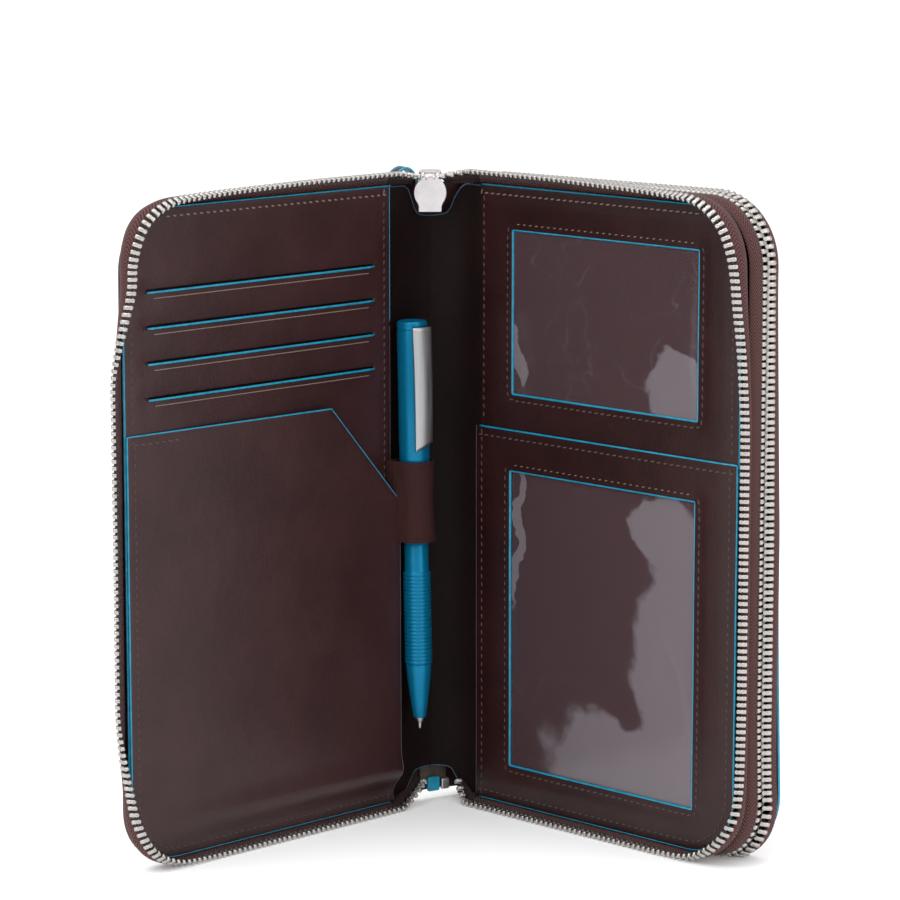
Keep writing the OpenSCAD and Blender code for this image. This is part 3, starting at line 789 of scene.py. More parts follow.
def frame_height(window, base, seed):
    """A leather frame: seams sunk round the page and the window, soft in between."""
    loop = np.array(rect(*WINDOW_T, *window))

    def height(t, z, edge):
        pts = np.stack([np.ravel(t), np.ravel(z)], 1)
        hole = edge_distance(pts, [loop]).reshape(np.shape(t))
        page = np.minimum.reduce([PAGE_END - t, z, np.where(z > 60, PAGE_H - z, 99), t - STRIP])
        h = base + 0.35 * smoothstep(0, 6, page) * smoothstep(0, 7, hole)
        h = h + groove(page, SEAM) + groove(hole, 2.0, 0.4, 0.18)
        return h + 0.14 * ripple(t, z, 36, seed)
    return height


def window_frame(name, outline, window, base, seed, top, node):
    body = "middle_wall"
    height = frame_height(window, base, seed)
    hole = rect(*WINDOW_T, *window, r=0.6)
    # The frames take the darker copy of the page leather: painted shade.
    piece(panel(name, MIDDLE, outline, [hole], height, 0.8, SHADED_LEATHER), body, "leather", node)
    at = with_edge(height, outline, hole)
    line = resample(hole, 1.2)[::-1]
    piece(bead(name + "_window_edge", MIDDLE, line, at, a=0.38, closed=True), body, "edge_paint")
    seam = offset(resample(rect(*WINDOW_T, *window), 1.5), -2.0)
    high = seam[:, 1] > window[1] + 1.7
    sewn(body, name + "_window_top_stitches", MIDDLE, seam, high, at, THREAD, fat=0.22)
    sewn(body, name + "_window_stitches", MIDDLE, seam, ~high, at, DARK_THREAD)
    line = resample(outline, 1.5)
    # The edge next to the spine takes the grey paint.
    greyed = line[:, 0] < STRIP + 0.2
    painted(body, name + "_edge", MIDDLE, line, ~greyed, at, a=0.32, b=0.45)
    painted(body, name + "_worn_edge", MIDDLE, line, greyed, at, a=0.22, b=0.4, material=GREY_EDGE_PAINT)
    seam = offset(line, SEAM)
    shown = seam[:, 1] > LOWER_TOP + 2 if top else np.full(len(seam), True)
    high = seam[:, 1] > PAGE_H - SEAM - 0.3
    if top:
        sewn(body, name + "_top_stitches", MIDDLE, seam, high, at, THREAD)
    sewn(body, name + "_stitches", MIDDLE, seam, shown & ~high, at, DARK_THREAD)


def middle_page():
    page = page_outline(STRIP)
    upper = [(STRIP, LOWER_TOP - 5), (PAGE_END, LOWER_TOP - 5)] + [p for p in page if p[1] > LOWER_TOP]
    lower = [p for p in page if p[1] < LOWER_TOP] + [(PAGE_END, LOWER_TOP), (STRIP, LOWER_TOP)]
    window_frame("upper_window_frame", upper, UPPER_WINDOW, -0.8, 7.1, True, "upper_window_panel")
    window_frame("lower_window_frame", lower, LOWER_WINDOW, 0.15, 9.3, False, "lower_window_pocket")
    cloth("window_backing", "middle_wall", "middle_page_backing", MIDDLE, page, -1.95, (0.1, 30, 3.3),
          0.5, 5.0, BACKING)


def film_height(base, seed, lively):
    """Film drawn into long shallow wrinkles."""
    def height(t, z, edge):
        bend = 0.5 * ripple(t, z, 28, seed) + 0.3 * ripple(t + z, z - t, 46, seed + 2)
        fold = 1 - np.abs(ripple(t + 0.35 * z, z * 0.45 - 0.3 * t, 15, seed + 5))
        keep = smoothstep(0, 9, edge)
        return base + lively * keep * (0.35 * bend + 0.16 * fold ** 6)
    return height


# Where each film is painted lighter as highlights, as (t, z, t radius, z radius), then how light its wrinkle
# lines are painted.
LOWER_FILM = film_material("clear_film_lower", [
    (WINDOW_T[1] + 3, 58, 30, 50), (WINDOW_T[1] - 12, 100, 15, 14), (WINDOW_T[0] + 3, 97, 2.6, 28),
    (WINDOW_T[1] - 12, 20, 54, 22)], 0.16)
UPPER_FILM = film_material("clear_film_upper", [
    (WINDOW_T[1] - 8, 147, 15, 10), (WINDOW_T[0] + 2, 153, 4, 9)], 0.3)


def films():
    for name, window, base, seed, lively, film in (
            ("upper_window_film", UPPER_WINDOW, -1.35, 2.7, 1.0, UPPER_FILM),
            ("lower_window_film", LOWER_WINDOW, -0.75, 8.8, 0.8, LOWER_FILM)):
        outline = rect(WINDOW_T[0] - 1.4, WINDOW_T[1] + 1.4, window[0] - 1.4, window[1] + 1.4)
        obj = panel(name + "_clear", MIDDLE, outline, [], film_height(base, seed, lively), 0.12, film,
                    step=0.9, rim=0.02, inset=(0.5,))
        piece(obj, "middle_wall", "clear_film", name)


front_page()
front_linings()
passport_pocket()
middle_page()
films()

# ---------------------------------------------------------------- zips
PITCH = 2.17


def rim(step):
    """Points round the page's three zipped sides: (t, z), outward normal, and a side count 0 to 5."""
    r, t1, h = PAGE_R, PAGE_END - PAGE_R, PAGE_H
    quarter = r * math.pi / 2
    lengths = [t1 - STRIP, quarter, h - 2 * r, quarter, t1 - STRIP]
    marks = np.concatenate([[0], np.cumsum(lengths)])
    n = int(marks[-1] / step)
    s = np.linspace(0, marks[-1], n + 1)
    q = np.interp(s, marks, np.arange(6.0))
    at, out = np.zeros((n + 1, 2)), np.zeros((n + 1, 2))
    for i, (si, qi) in enumerate(zip(s, q)):
        k = min(int(qi), 4)
        f = si - marks[k]
        if k in (0, 4):
            at[i] = (STRIP + f, 0) if k == 0 else (t1 - f, h)
            out[i] = (0, -1) if k == 0 else (0, 1)
        elif k == 2:
            at[i], out[i] = (PAGE_END, r + f), (1, 0)
        else:
            a = (-90 if k == 1 else 0) + f / quarter * 90
            out[i] = math.cos(math.radians(a)), math.sin(math.radians(a))
            at[i] = np.array([t1, r if k == 1 else h - r]) + r * out[i]
    return at, out, q, s


def sections(keys, q, cells):
    """Tape sections (out, d) at each q, curling from one angle to another, and the last direction."""
    keys = np.array([k if len(k) == 7 else (*k, 1.0) for k in keys], float)
    spread = 4
    even = np.ones(2 * spread + 1) / (2 * spread + 1)
    out_b, d_b, a0, a1, length, curl = (
        np.convolve(np.pad(np.interp(q, keys[:, 0], keys[:, i]), spread, mode="edge"), even, "valid")
        for i in range(1, 7))
    u = (np.arange(cells) + 0.5) / cells
    ang = np.radians(a0[:, None] + (a1 - a0)[:, None] * u ** curl[:, None])
    step = length[:, None] / cells
    o, d = (first[:, None] + np.concatenate([np.zeros((len(q), 1)), np.cumsum(way(ang) * step, 1)], 1)
            for first, way in ((out_b, np.sin), (d_b, np.cos)))
    return o, d, np.radians(a1)


def band(name, grid, thick, material, uv=None):
    """A cloth band from a grid of points: a front and a back skin, closed along all four edges."""
    n, m = grid.shape[:2]
    normal = np.cross(np.gradient(grid, axis=0), np.gradient(grid, axis=1))
    normal /= np.linalg.norm(normal, axis=2, keepdims=True) + 1e-12
    skins = [grid + normal * thick / 2, grid - normal * thick / 2]
    k = n * m
    faces = []
    for i in range(n - 1):
        for j in range(m - 1):
            a, b, c, d = i * m + j, (i + 1) * m + j, (i + 1) * m + j + 1, i * m + j + 1
            faces += [(a, b, c, d), (a + k, d + k, c + k, b + k)]
    for i in range(n - 1):
        a, b = i * m, (i + 1) * m
        faces += [(b, a, a + k, b + k), (a + m - 1, b + m - 1, b + m - 1 + k, a + m - 1 + k)]
    for j in range(m - 1):
        a, b = j, (n - 1) * m + j
        faces += [(a, a + 1, a + 1 + k, a + k), (b + 1, b, b + k, b + 1 + k)]
    if uv is None:
        uv = np.stack(np.broadcast_arrays(distance_along(grid[:, 0])[:, None], distance_along(grid[0])), -1)
    uv = np.concatenate([uv.reshape(-1, 2)] * 2)
    return new_mesh(name, np.concatenate([s.reshape(-1, 3) for s in skins]), faces, material, uv=uv)


def tooth_template():
    """One metal tooth along its length: clamped legs, a waist, and a round head with a dimple."""
    # length, half width, half thickness, depth of the dimple
    stations = [(-0.5, 0.50, 0.72, 0), (-0.3, 0.72, 0.98, 0), (0.7, 0.75, 1.0, 0), (1.0, 0.73, 0.96, 0.1),
                (1.25, 0.60, 0.84, 0), (1.5, 0.66, 0.90, 0.1), (1.8, 0.72, 0.94, 0.6), (2.1, 0.70, 0.90, 0.6),
                (2.4, 0.60, 0.78, 0), (2.6, 0.32, 0.46, 0)]
    side = [(1, 0.45), (0.8, 0.86), (0.35, 1), (-0.35, 1), (-0.8, 0.86), (-1, 0.45)]
    ring = side + [(-x, -y) for x, y in side]
    verts = [(l, w * a, t * b * (1 - dip if abs(b) == 1 else 1))
             for l, w, t, dip in stations for a, b in ring]
    return np.array(verts), tube_faces(len(stations), len(ring))


def teeth(name, roots, points, runs, size=1.0):
    """A row of teeth: roots, the directions that they point in, and the directions of the row."""
    tooth, faces = tooth_template()
    verts = []
    for r, e, p in zip(roots, unit(points), runs):
        p = unit(p - e * (p @ e))
        verts.append(r + size * (tooth[:, :1] * e + tooth[:, 1:2] * p + tooth[:, 2:] * np.cross(e, p)))
    return new_mesh(name, np.concatenate(verts), copied(faces, len(tooth), len(verts)), TEETH)


def zip_half(name, place, keys, phase, body, node, size=1.0):
    """Tape and teeth round a page, from sections that change from side to side. Returns its two ends."""
    at, out, q, s = rim(PITCH / 2)
    o, d, last = sections(keys, q, 9)
    grid = place(at[:, :1] + out[:, :1] * o, d, at[:, 1:] + out[:, 1:] * o)
    uv = np.stack(np.broadcast_arrays(s[:, None], np.linspace(0, 6.5, grid.shape[1])), -1)
    piece(band(name + "_tape", grid, 0.55, TAPE, uv), body, "tape", node + "_tape")
    aim = np.sin(last)[:, None] * out
    aim = aim[:, :1] * place.t + np.cos(last)[:, None] * place.d + aim[:, 1:] * UP
    pick = np.arange(phase, len(q), 2)
    row = teeth(name + "_teeth", grid[pick, -1], aim[pick], np.gradient(grid[:, -1], axis=0)[pick], size)
    piece(row, body, "zip_metal", node + "_teeth")
    return {end: dict(root=grid[i, -1], base=grid[i, 0], mid=grid[i, 4], e=aim[i], run=-place.t)
            for end, i in (("foot", 0), ("top", -1))}


# side count, base out, base depth, first angle, last angle, width of tape, and how late it curls
REAR_SECTION = (1.6, -2.9, 140, 186, 5.0)
BACK_SECTION = (0.4, -16.2, 125, -10, 5.5, 0.55)
LOW_BACK_SECTION = (1.2, -16.2, 140, -30, 7.5, 0.7)
FRONT_KEYS = [(0, -0.1, -1.9, 38, -3, 6.2), (0.85, -0.1, -1.9, 38, -3, 6.2),
              (1.15, 0.2, -1.8, 48, -25, 6.6), (1.5, 0.9, -1.9, 60, -42, 7.0),
              (1.8, 0.6, -1.9, 56, -42, 5.6), (2.0, 0.7, -2.0, 58, -30, 4.1),
              (2.05, 0.9, -2.0, 72, -6, 4.2), (2.1, 0.8, -2.0, 88, 16, 4.2),
              (2.17, 0.5, -2.0, 98, 42, 4.0), (2.5, 0.4, -2.0, 98, 45, 3.6),
              (2.81, 0.5, -2.0, 98, 42, 4.0), (2.9, 0.4, -2.0, 66, -4, 4.2),
              (2.97, -0.7, -1.9, 45, -45, 4.4), (3.15, -0.1, -1.9, 52, -45, 5.4),
              (3.4, -0.5, -2.2, 86, -44, 9.4), (3.55, -0.5, -2.3, 92, -42, 10.4),
              (3.85, 0.2, -1.9, 68, -30, 7.9), (4.2, 0.3, -1.9, 70, -6, 6.6), (4.6, 0.2, -1.9, 76, 6, 6.2),
              (5.0, 0.2, -1.9, 76, 8, 6.0)]
MIDDLE_KEYS = [(0, -0.1, -2.4, 38, -3, 6.4), (0.85, -0.1, -2.4, 38, -3, 6.4),
               (1.15, 0.4, -2.3, 48, -25, 6.6), (1.5, 0.4, -2.4, 76, -42, 8.0),
               (1.8, 0.6, -2.4, 90, -42, 7.4, 1.2), (1.95, 0.4, -2.4, 88, -45, 6.2, 1.7),
               (2.05, 0.5, -2.4, 92, -45, 5.7, 2.4), (2.2, 0.2, -2.4, 95, -45, 5.5, 3),
               (2.7, 0.2, -2.4, 95, -45, 5.5, 3), (2.84, -0.2, -2.4, 88, -45, 6.0, 2.2),
               (2.93, -0.2, -2.4, 78, -45, 6.6, 1.5), (3.03, 0.1, -2.4, 66, -45, 7.0, 1.1),
               (3.2, 0.5, -2.4, 62, -45, 7.4), (3.5, 1.2, -2.4, 62, -45, 7.6),
               (3.9, 0.8, -2.4, 66, -30, 7.4), (4.2, 0.3, -2.3, 70, -6, 6.8), (4.6, 0.2, -2.3, 76, 6, 6.4),
               (5.0, 0.2, -2.3, 76, 8, 6.2)]
REAR_KEYS = [(0, 0.8, -3.1, 176, 178, 5.2), (0.9, 0.8, -3.1, 176, 178, 5.2),
             (1.2, 1.4, -3.0, 140, 186, 5.4), (1.5, 0.8, -2.9, 105, 190, 6.8),
             (1.8, 0.8, -2.9, 107, 190, 6.6), (2.15, *REAR_SECTION), (3.6, *REAR_SECTION),
             (3.9, 0.9, -2.9, 140, 184, 5.3), (5.0, 1.0, -3.1, 150, 182, 5.2)]
BACK_KEYS = [(0, 0.8, -16.3, 10, 2, 3.0), (0.9, 0.8, -16.3, 10, 2, 3.0),
             (1.2, 1.4, -16.2, 110, -14, 5.6, 0.8), (1.5, 3.0, -16.4, 140, -28, 7.0, 0.7),
             (1.85, 2.4, -16.4, 140, -30, 7.3, 0.7), (2.1, *LOW_BACK_SECTION), (2.5, *LOW_BACK_SECTION),
             (2.95, *BACK_SECTION), (3.5, *BACK_SECTION), (3.9, 0.4, -16.2, 100, -8, 5.0, 0.8),
             (5.0, 0.8, -16.1, 60, -4, 3.4)]


def hermite(p0, v0, p1, v1, n):
    u = np.linspace(0, 1, n)[:, None]
    return ((2 * u ** 3 - 3 * u ** 2 + 1) * p0 + (u ** 3 - 2 * u ** 2 + u) * v0
            + (-2 * u ** 3 + 3 * u ** 2) * p1 + (u ** 3 - u ** 2) * v1)


def hermite_chain(points, n):
    """A smooth line through points, with n steps between each two."""
    pts = [np.array(p, float) for p in points]
    vel = [pts[1] - pts[0]] + [(b - a) / 2 for a, b in zip(pts, pts[2:])] + [pts[-1] - pts[-2]]
    out = [hermite(pts[i], vel[i], pts[i + 1], vel[i + 1], n + 1)[:-1] for i in range(len(pts) - 1)]
    return np.concatenate(out + [pts[-1:]])


def zip_tail(name, start, root, run, e, base, pull, bodies, span):
    """The zip's end between a page and the spine."""
    length = np.linalg.norm(root - start["root"]) * 1.08
    n = max(4, int(length / (PITCH / 2)))
    roots = hermite(start["root"], start["run"] * pull, root, run * pull, n)
    bases = hermite(start["base"], start["run"] * pull, base, run * pull, n)
    u = np.linspace(0, 1, n)[:, None]
    es = start["e"] * (1 - u) + e * u
    middle = (roots + bases) / 2
    mids = middle + (start["mid"] - (start["root"] + start["base"]) / 2) * (1 - 0.5 * u)
    grid = np.stack([bases * (1 - v) ** 2 + 2 * v * (1 - v) * (2 * mids - middle) + roots * v * v
                     for v in np.linspace(0, 1, 7)], 1)
    # The end tape takes the darker copy of the tape weave: painted shade.
    blended(band(name + "_tape", grid, 0.55, SHADED_TAPE), bodies, span, "tape")
    pick = np.arange(1, n, 2)
    row = teeth(name + "_teeth", roots[pick], es[pick], np.gradient(roots, axis=0)[pick])
    blended(row, bodies, span, "zip_metal")


SLIDER = mm(JOINTS["front_puller_swing"]["pos_m"])
REAR_PIN = mm(JOINTS["rear_puller_swing"]["pos_m"])
CHAIN = np.array([-math.sqrt(0.5), math.sqrt(0.5), 0])
CROSS = np.array([-math.sqrt(0.5), -math.sqrt(0.5), 0])
MOUTH = SLIDER + CHAIN * 2.4
CORNER = np.array([CARD[1][0], LOWER[0][1], PAGE_Z])


def zips():
    # foot: where the zip ends at the spine: tooth root, row direction, tooth direction, tape's base
    for name, place, keys, phase, body, cross, foot in (
            ("front_zip", FRONT, FRONT_KEYS, 0, "front_cover", CROSS,
             ((1.4, -13.0, 4.6), (0.1, 0.6, 0.9), (0.95, 0.25, 0.1), (-1.0, -12.5, 8.0))),
            ("middle_zip", MIDDLE, MIDDLE_KEYS, 1, "middle_wall", -CROSS,
             ((8.8, -1.2, 4.8), (-0.6, -0.1, 0.9), (-0.25, -0.95, 0.1), (8.4, 1.2, 8.0)))):
        ends = zip_half(name, place, keys, phase, body, name)
        span = (place(7, 0, 0), place(-6, 0, 0))
        zip_tail(name + "_top_end", ends["top"], MOUTH + cross * 2.7, CHAIN, -cross,
                 MOUTH + cross * 5 + CHAIN * 3 + [0, 0, -2], 7, (body, "spine"), span)
        root, run, e, base = (np.array(v) for v in foot)
        zip_tail(name + "_foot_end", ends["foot"], CORNER + root, run, e, CORNER + base, 6,
                 (body, "spine"), span)
    zip_half("rear_zip", MIDDLE, REAR_KEYS, 0, "middle_wall", "rear_zip_inner", 1.1)
    zip_half("back_zip", MIDDLE, BACK_KEYS, 1, "back_cover", "back_zip", 1.1)


# ---------------------------------------------------------------- spine linings and outer leather
class Bent:
    """A frame that follows a plan curve: t runs along it in mm, d to one side, z up."""

    def __init__(self, plan, facing):
        plan = np.asarray(plan, float)
        u = np.linspace(0, 1, 121)
        knots = np.linspace(0, 1, len(plan))
        dense = np.stack([np.interp(u, knots, plan[:, i]) for i in (0, 1)], 1)
        smooth = np.ones(21) / 21
        ext = np.concatenate([dense[0] + (dense[0] - dense[10:0:-1]), dense,
                              dense[-1] + (dense[-1] - dense[-2:-12:-1])])
        self.xy = np.stack([np.convolve(ext[:, i], smooth, "valid") for i in (0, 1)], 1)
        self.s = distance_along(self.xy)
        run = unit(np.gradient(self.xy, axis=0))
        self.side = np.stack([-run[:, 1], run[:, 0]], 1)
        if self.side.mean(0) @ np.array(facing[:2]) < 0:
            self.side = -self.side
        self.t = np.array([*unit(self.xy[-1] - self.xy[0]), 0])
        self.d = np.array([*self.side.mean(0), 0])
        self.length = self.s[-1]

    def __call__(self, t, d, z):
        t, d, z = np.broadcast_arrays(*(np.asarray(v, float) for v in (t, d, z)))
        x, y = (np.interp(t, self.s, self.xy[:, i]) + d * np.interp(t, self.s, self.side[:, i])
                for i in (0, 1))
        return np.stack([x, y, z + PAGE_Z], -1)


def split_outline(outline, lo, hi):
    """The part of a closed (t, z) outline between two values of t."""
    def clip(pts, at, keep_low):
        out = []
        for a, b in zip(pts, pts[1:] + pts[:1]):
            ia, ib = (a[0] <= at) == keep_low, (b[0] <= at) == keep_low
            if ia:
                out.append(a)
            if ia != ib:
                f = (at - a[0]) / (b[0] - a[0])
                out.append((at, a[1] + f * (b[1] - a[1])))
        return out
    return clip(clip(list(outline), hi, True), lo, False)


def spine_lining():
    plan = np.array([(-1.15, -27.5), (-1.05, -20.5), (-0.2, -13.2), (1.75, -7.1), (5.9, -2.0), (10.6, 0.35),
                     (17.4, 1.15)]) + CORNER[:2]
    place = Bent(plan, (1, -1, 0))
    end, mid = place.length, place.length / 2
    scoop = [(end - 7.2, 207.6), (end - 9.2, 206.2), (end - 11.2, 203.2), (end - 12.6, 199.9),
             (end - 14.6, 197.8), (mid, 197.2), (15.4, 197.8), (13.6, 199.9), (12.4, 203.2), (11.0, 206.2),
             (9.2, 207.5)]
    foot = [(0, 0.2), (5.5, 0.5), (9.5, 2.6), (11.8, 6.0), (13.8, 8.6), (mid, 9.6), (end - 13.2, 8.8),
            (end - 11, 6.0), (end - 9.0, 2.8), (end - 5.5, 0.5), (end, 0.2)]
    scoop, foot = hermite_chain(scoop, 5).tolist(), hermite_chain(foot, 5).tolist()
    outline = foot + [(end, 207.6)] + scoop + [(0, 207.6)]

    def height(t, z, edge):
        return 0.35 + 0.12 * ripple(t * 0.6, z, 26, 5.5) + 0.2 * ripple(t, z * 0.3, 9, 1.1)
    f_span = (FRONT(9, 0, 0), FRONT(-5, 0, 0))
    m_span = (MIDDLE(9, 0, 0), MIDDLE(-5, 0, 0))
    lap = 0.7
    for name, lo, hi, bodies, span, nodes in (
            ("spine_lining_front", 0, mid + lap, ("front_cover", "spine"), f_span, ()),
            ("spine_lining_middle", mid - lap, end, ("middle_wall", "spine"), m_span, ("spine_lining",))):
        part = split_outline(outline, lo, hi)
        obj = panel(name, place, part, [], height, 0.6, LINING, step=2.6, rim=0.25)
        blended(obj, bodies, span, "lining", *nodes)
        at = with_edge(height, part)
        line = resample(part, 1.2)
        keep = (line[:, 0] > lo + 0.05) & (line[:, 0] < hi - 0.05)
        # The lining's edges take the darker copy of the blue paint: painted shade.
        obj = beads(name + "_edge", place, line, keep, at, a=0.26, b=0.42, drop=0.3, material=SHADED_BLUE)
        blended(obj, bodies, span, "edge_paint")


def outside_place(place):
    return Place(place.o, place.t, -place.d)


def outer_height(level, seed):
    def height(t, z, edge):
        h = level + groove(edge, 3.2, 0.5, 0.2) + 0.14 * ripple(t, z, 45, seed)
        return h - 0.5 * (1 - smoothstep(0, 3.0, edge)) * (1 - np.exp(-((t - 8) / 3.0) ** 2))
    return height


CREASE_T = 7.5


def outer_cover(name, place, level, seed, body, node, grow, splay, edge_material):
    """splay widens the cover towards its lower outer corner, in mm."""
    outline = [(t + splay * smoothstep(130, 10, z) * smoothstep(60, 120, t), z)
               for t, z in page_outline(CREASE_T, grow, 0.9)]
    height = outer_height(level, seed)
    outside = outside_place(place)
    obj = panel(name, outside, outline, [], height, 0.95, OUTER, step=3.2, rim=0.5)
    piece(obj, body, "leather", node)
    at = with_edge(height, outline)
    line = resample(outline, 1.6)
    painted(body, name + "_edge", outside, line, line[:, 0] > CREASE_T + 0.2, at, a=0.3, drop=0.6,
            material=edge_material)
    seam = offset(line, 3.2)
    sewn(body, name + "_stitches", outside, seam, seam[:, 0] > CREASE_T + 3.3, at, DARK_THREAD)


def outer_leather():
    outer_cover("front_cover_skin", FRONT, 3.8, 11.0, "front_cover", "front_cover_leather", -0.7,
                1.2, BROWN_EDGE)
    outer_cover("back_cover_skin", MIDDLE, BACK_D, 12.0, "back_cover", "back_cover_leather", 1.0, 4.8,
                BLUE)
    c = CORNER[:2]
    plan = np.array([(-3.3, -13.9 - CREASE_T - 0.6), (-3.3, -16.5), (-2.4, -11.5), (-0.9, -5.6), (1.1, 0.6),
                     (1.9, 5.2), (1.9, 9.2), (1.95, 12.6), (3.6, 15.6), (7.0, 16.5),
                     (HINGE_M[0] - c[0] + CREASE_T + 0.6, 16.5)]) + c
    place = Bent(plan, (-1, -0.3, 0))
    spine_s = np.interp(-5.6 + c[1], place.xy[:, 1], place.s)
    side_s = np.interp(9.2 + c[1], place.xy[:, 1], place.s)
    top = PAGE_H + 0.4
    outline = [(0, -0.6), (8, 0.2), (spine_s, 0.6), (side_s - 6, 0.2), (side_s, -0.6), (place.length, -0.8),
               (place.length, top + 0.5), (side_s, top + 0.4), (spine_s + 4, top - 0.6), (spine_s, top - 1),
               (8, top - 0.4), (0, top + 0.5)]

    def height(t, z, edge):
        wrinkle = np.exp(-((t - 8.5) / 3.5) ** 2) + np.exp(-((t - spine_s - 6.0) / 3.5) ** 2)
        return 0.5 + 0.12 * ripple(t, z, 30, 6.6) + 0.22 * wrinkle * ripple(t * 1.5, z * 0.5, 5, 2.2)
    f_span = (FRONT(6.5, 0, 0), FRONT(-4.5, 0, 0))
    m_span = (SPINE(4.5, 0, 0), SPINE(-4.5, 0, 0))
    b_span = (MIDDLE(-0.5, -11.5, 0), MIDDLE(6.5, -15.5, 0))
    for name, lo, hi, bodies, span, node in (
            ("outer_crease_front", 0, spine_s, ("front_cover", "spine"), f_span, ("spine_leather",)),
            ("outer_crease_middle", spine_s, side_s, ("spine", "middle_wall"), m_span,
             ("rear_gusset_leather",)),
            ("outer_crease_back", side_s, place.length, ("middle_wall", "back_cover"), b_span, ())):
        obj = panel(name, place, split_outline(outline, lo, hi), [], height, 0.95, OUTER, step=2.4, rim=0.3)
        blended(obj, bodies, span, "leather", *node)


BACK_D = BACK[1][1] - LOWER[0][1]


def rear_compartment():
    """The second compartment's linings and its pocket for boarding passes."""
    cloth("middle_rear_cloth", "middle_wall", "middle_rear_lining", outside_place(MIDDLE), page_outline(0.2),
          4.1, (0.08, 35, 3.9), 0.6, 5.0)
    side = Place(MIDDLE(-0.8, 0, 0), (0, 1, 0), (1, 0, 0))
    cloth("rear_gusset_cloth", "middle_wall", "rear_gusset_lining", side,
          rect(4.3, 14.9, 0.2, PAGE_H - 0.2, 0.5), 0.5, (0.08, 14, 6.1), 0.45, 2.5)
    cloth("back_cover_cloth", "back_cover", "back_cover_lining", MIDDLE, page_outline(1.4, -0.4),
          2.5 - BACK_D, (0.06, 35, 7.7), 0.45, 5.0)
    top, end = 148, PAGE_END - 1.6
    outline = [p for p in page_outline(STRIP, -1.6) if p[1] < top] + [(end, top), (STRIP, top)]

    def height(t, z, edge):
        slack = 0.5 * smoothstep(70, top, z) * smoothstep(0, 30, edge + 4)
        return 3.3 - BACK_D + slack + groove(edge, SEAM) + 0.12 * ripple(t, z, 35, 5.2)
    obj = panel("boarding_pass_leather", MIDDLE, outline, [], height, 0.75, LEATHER, step=3.0)
    piece(obj, "back_cover", "leather", "boarding_pass_pocket")
    at = with_edge(height, outline)
    line = resample(outline, 1.6)
    painted("back_cover", "boarding_pass_edge", MIDDLE, line, line[:, 1] > top - 0.5, at, a=0.3, b=0.45)
    seam = offset(line, SEAM)
    sewn("back_cover", "boarding_pass_stitches", MIDDLE, seam, seam[:, 1] < top - 1 - SEAM, at, DARK_THREAD)


def rear_end_tapes():
    """The rear zip's ends on the gusset: two flat tapes with their teeth, above and below the slider."""
    lo, hi = (mm(c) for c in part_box("rear_zip_end_tape"))
    gap = REAR_PIN[2] + 1.6, REAR_PIN[2] + 10.2
    middle, half = (lo[1] + hi[1]) / 2, (hi[1] - lo[1]) / 2
    tapes, rows = [], []
    for side in (-1, 1):
        for k, (z0, z1) in enumerate(((lo[2] + 0.1, gap[0]), (gap[1], hi[2]))):
            zs = np.linspace(z0, z1, 12)[:, None]
            across = middle + np.linspace(half, half - 2.2, 5) * side
            grid = np.stack(np.broadcast_arrays(lo[0] + 0.3 - 0.1 * np.sin(zs * 0.7), across, zs), -1)
            tapes.append(band(f"end_tape_{side}_{k}", grid, 0.5, TAPE))
            zs = np.arange(z0 + 1.1 + 0.3 * (side + 1), z1 - 0.6, 1.3)
            roots = np.stack(np.broadcast_arrays(lo[0] + 0.2, middle + side * 1.45, zs), -1)
            rows.append(teeth(f"end_teeth_{side}_{k}", roots, np.tile([0, -side, 0.0], (len(zs), 1)),
                              np.tile(UP, (len(zs), 1)), 0.5))
    piece(join("rear_zip_end_tapes", tapes), "middle_wall", "tape", "rear_zip_end_tape")
    piece(join("rear_zip_end_teeth", rows), "middle_wall", "zip_metal")


zips()
spine_lining()
outer_leather()
rear_compartment()
rear_end_tapes()


# ---------------------------------------------------------------- pen and its loop
PEN_UP = np.array(JOINTS["pen_twist"]["axis"], float)
PEN_UP /= np.linalg.norm(PEN_UP)
PEN_AT = mm(JOINTS["pen_twist"]["pos_m"])
PEN_TIP = PEN_AT + PEN_UP * (mm(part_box("pen_refill")[0])[2] - PEN_AT[2]) / PEN_UP[2]
PEN_SIDE = np.array([PEN_UP[2], 0, -PEN_UP[0]])
PEN_BACK = np.cross(PEN_UP, PEN_SIDE)


def on_pen(side, back, up):
    return (PEN_TIP + np.multiply.outer(side, PEN_SIDE) + np.multiply.outer(back, PEN_BACK)
            + np.multiply.outer(up, PEN_UP))


def lathe(name, profile, material, n=56):
    """Turned shape on the pen's axis, from (height, radius) points."""
    ang = np.linspace(0, 2 * math.pi, n, endpoint=False)
    verts = np.concatenate([on_pen(r * np.cos(ang), r * np.sin(ang), np.full(n, h)) for h, r in profile])
    return new_mesh(name, verts, tube_faces(len(profile), n), material)


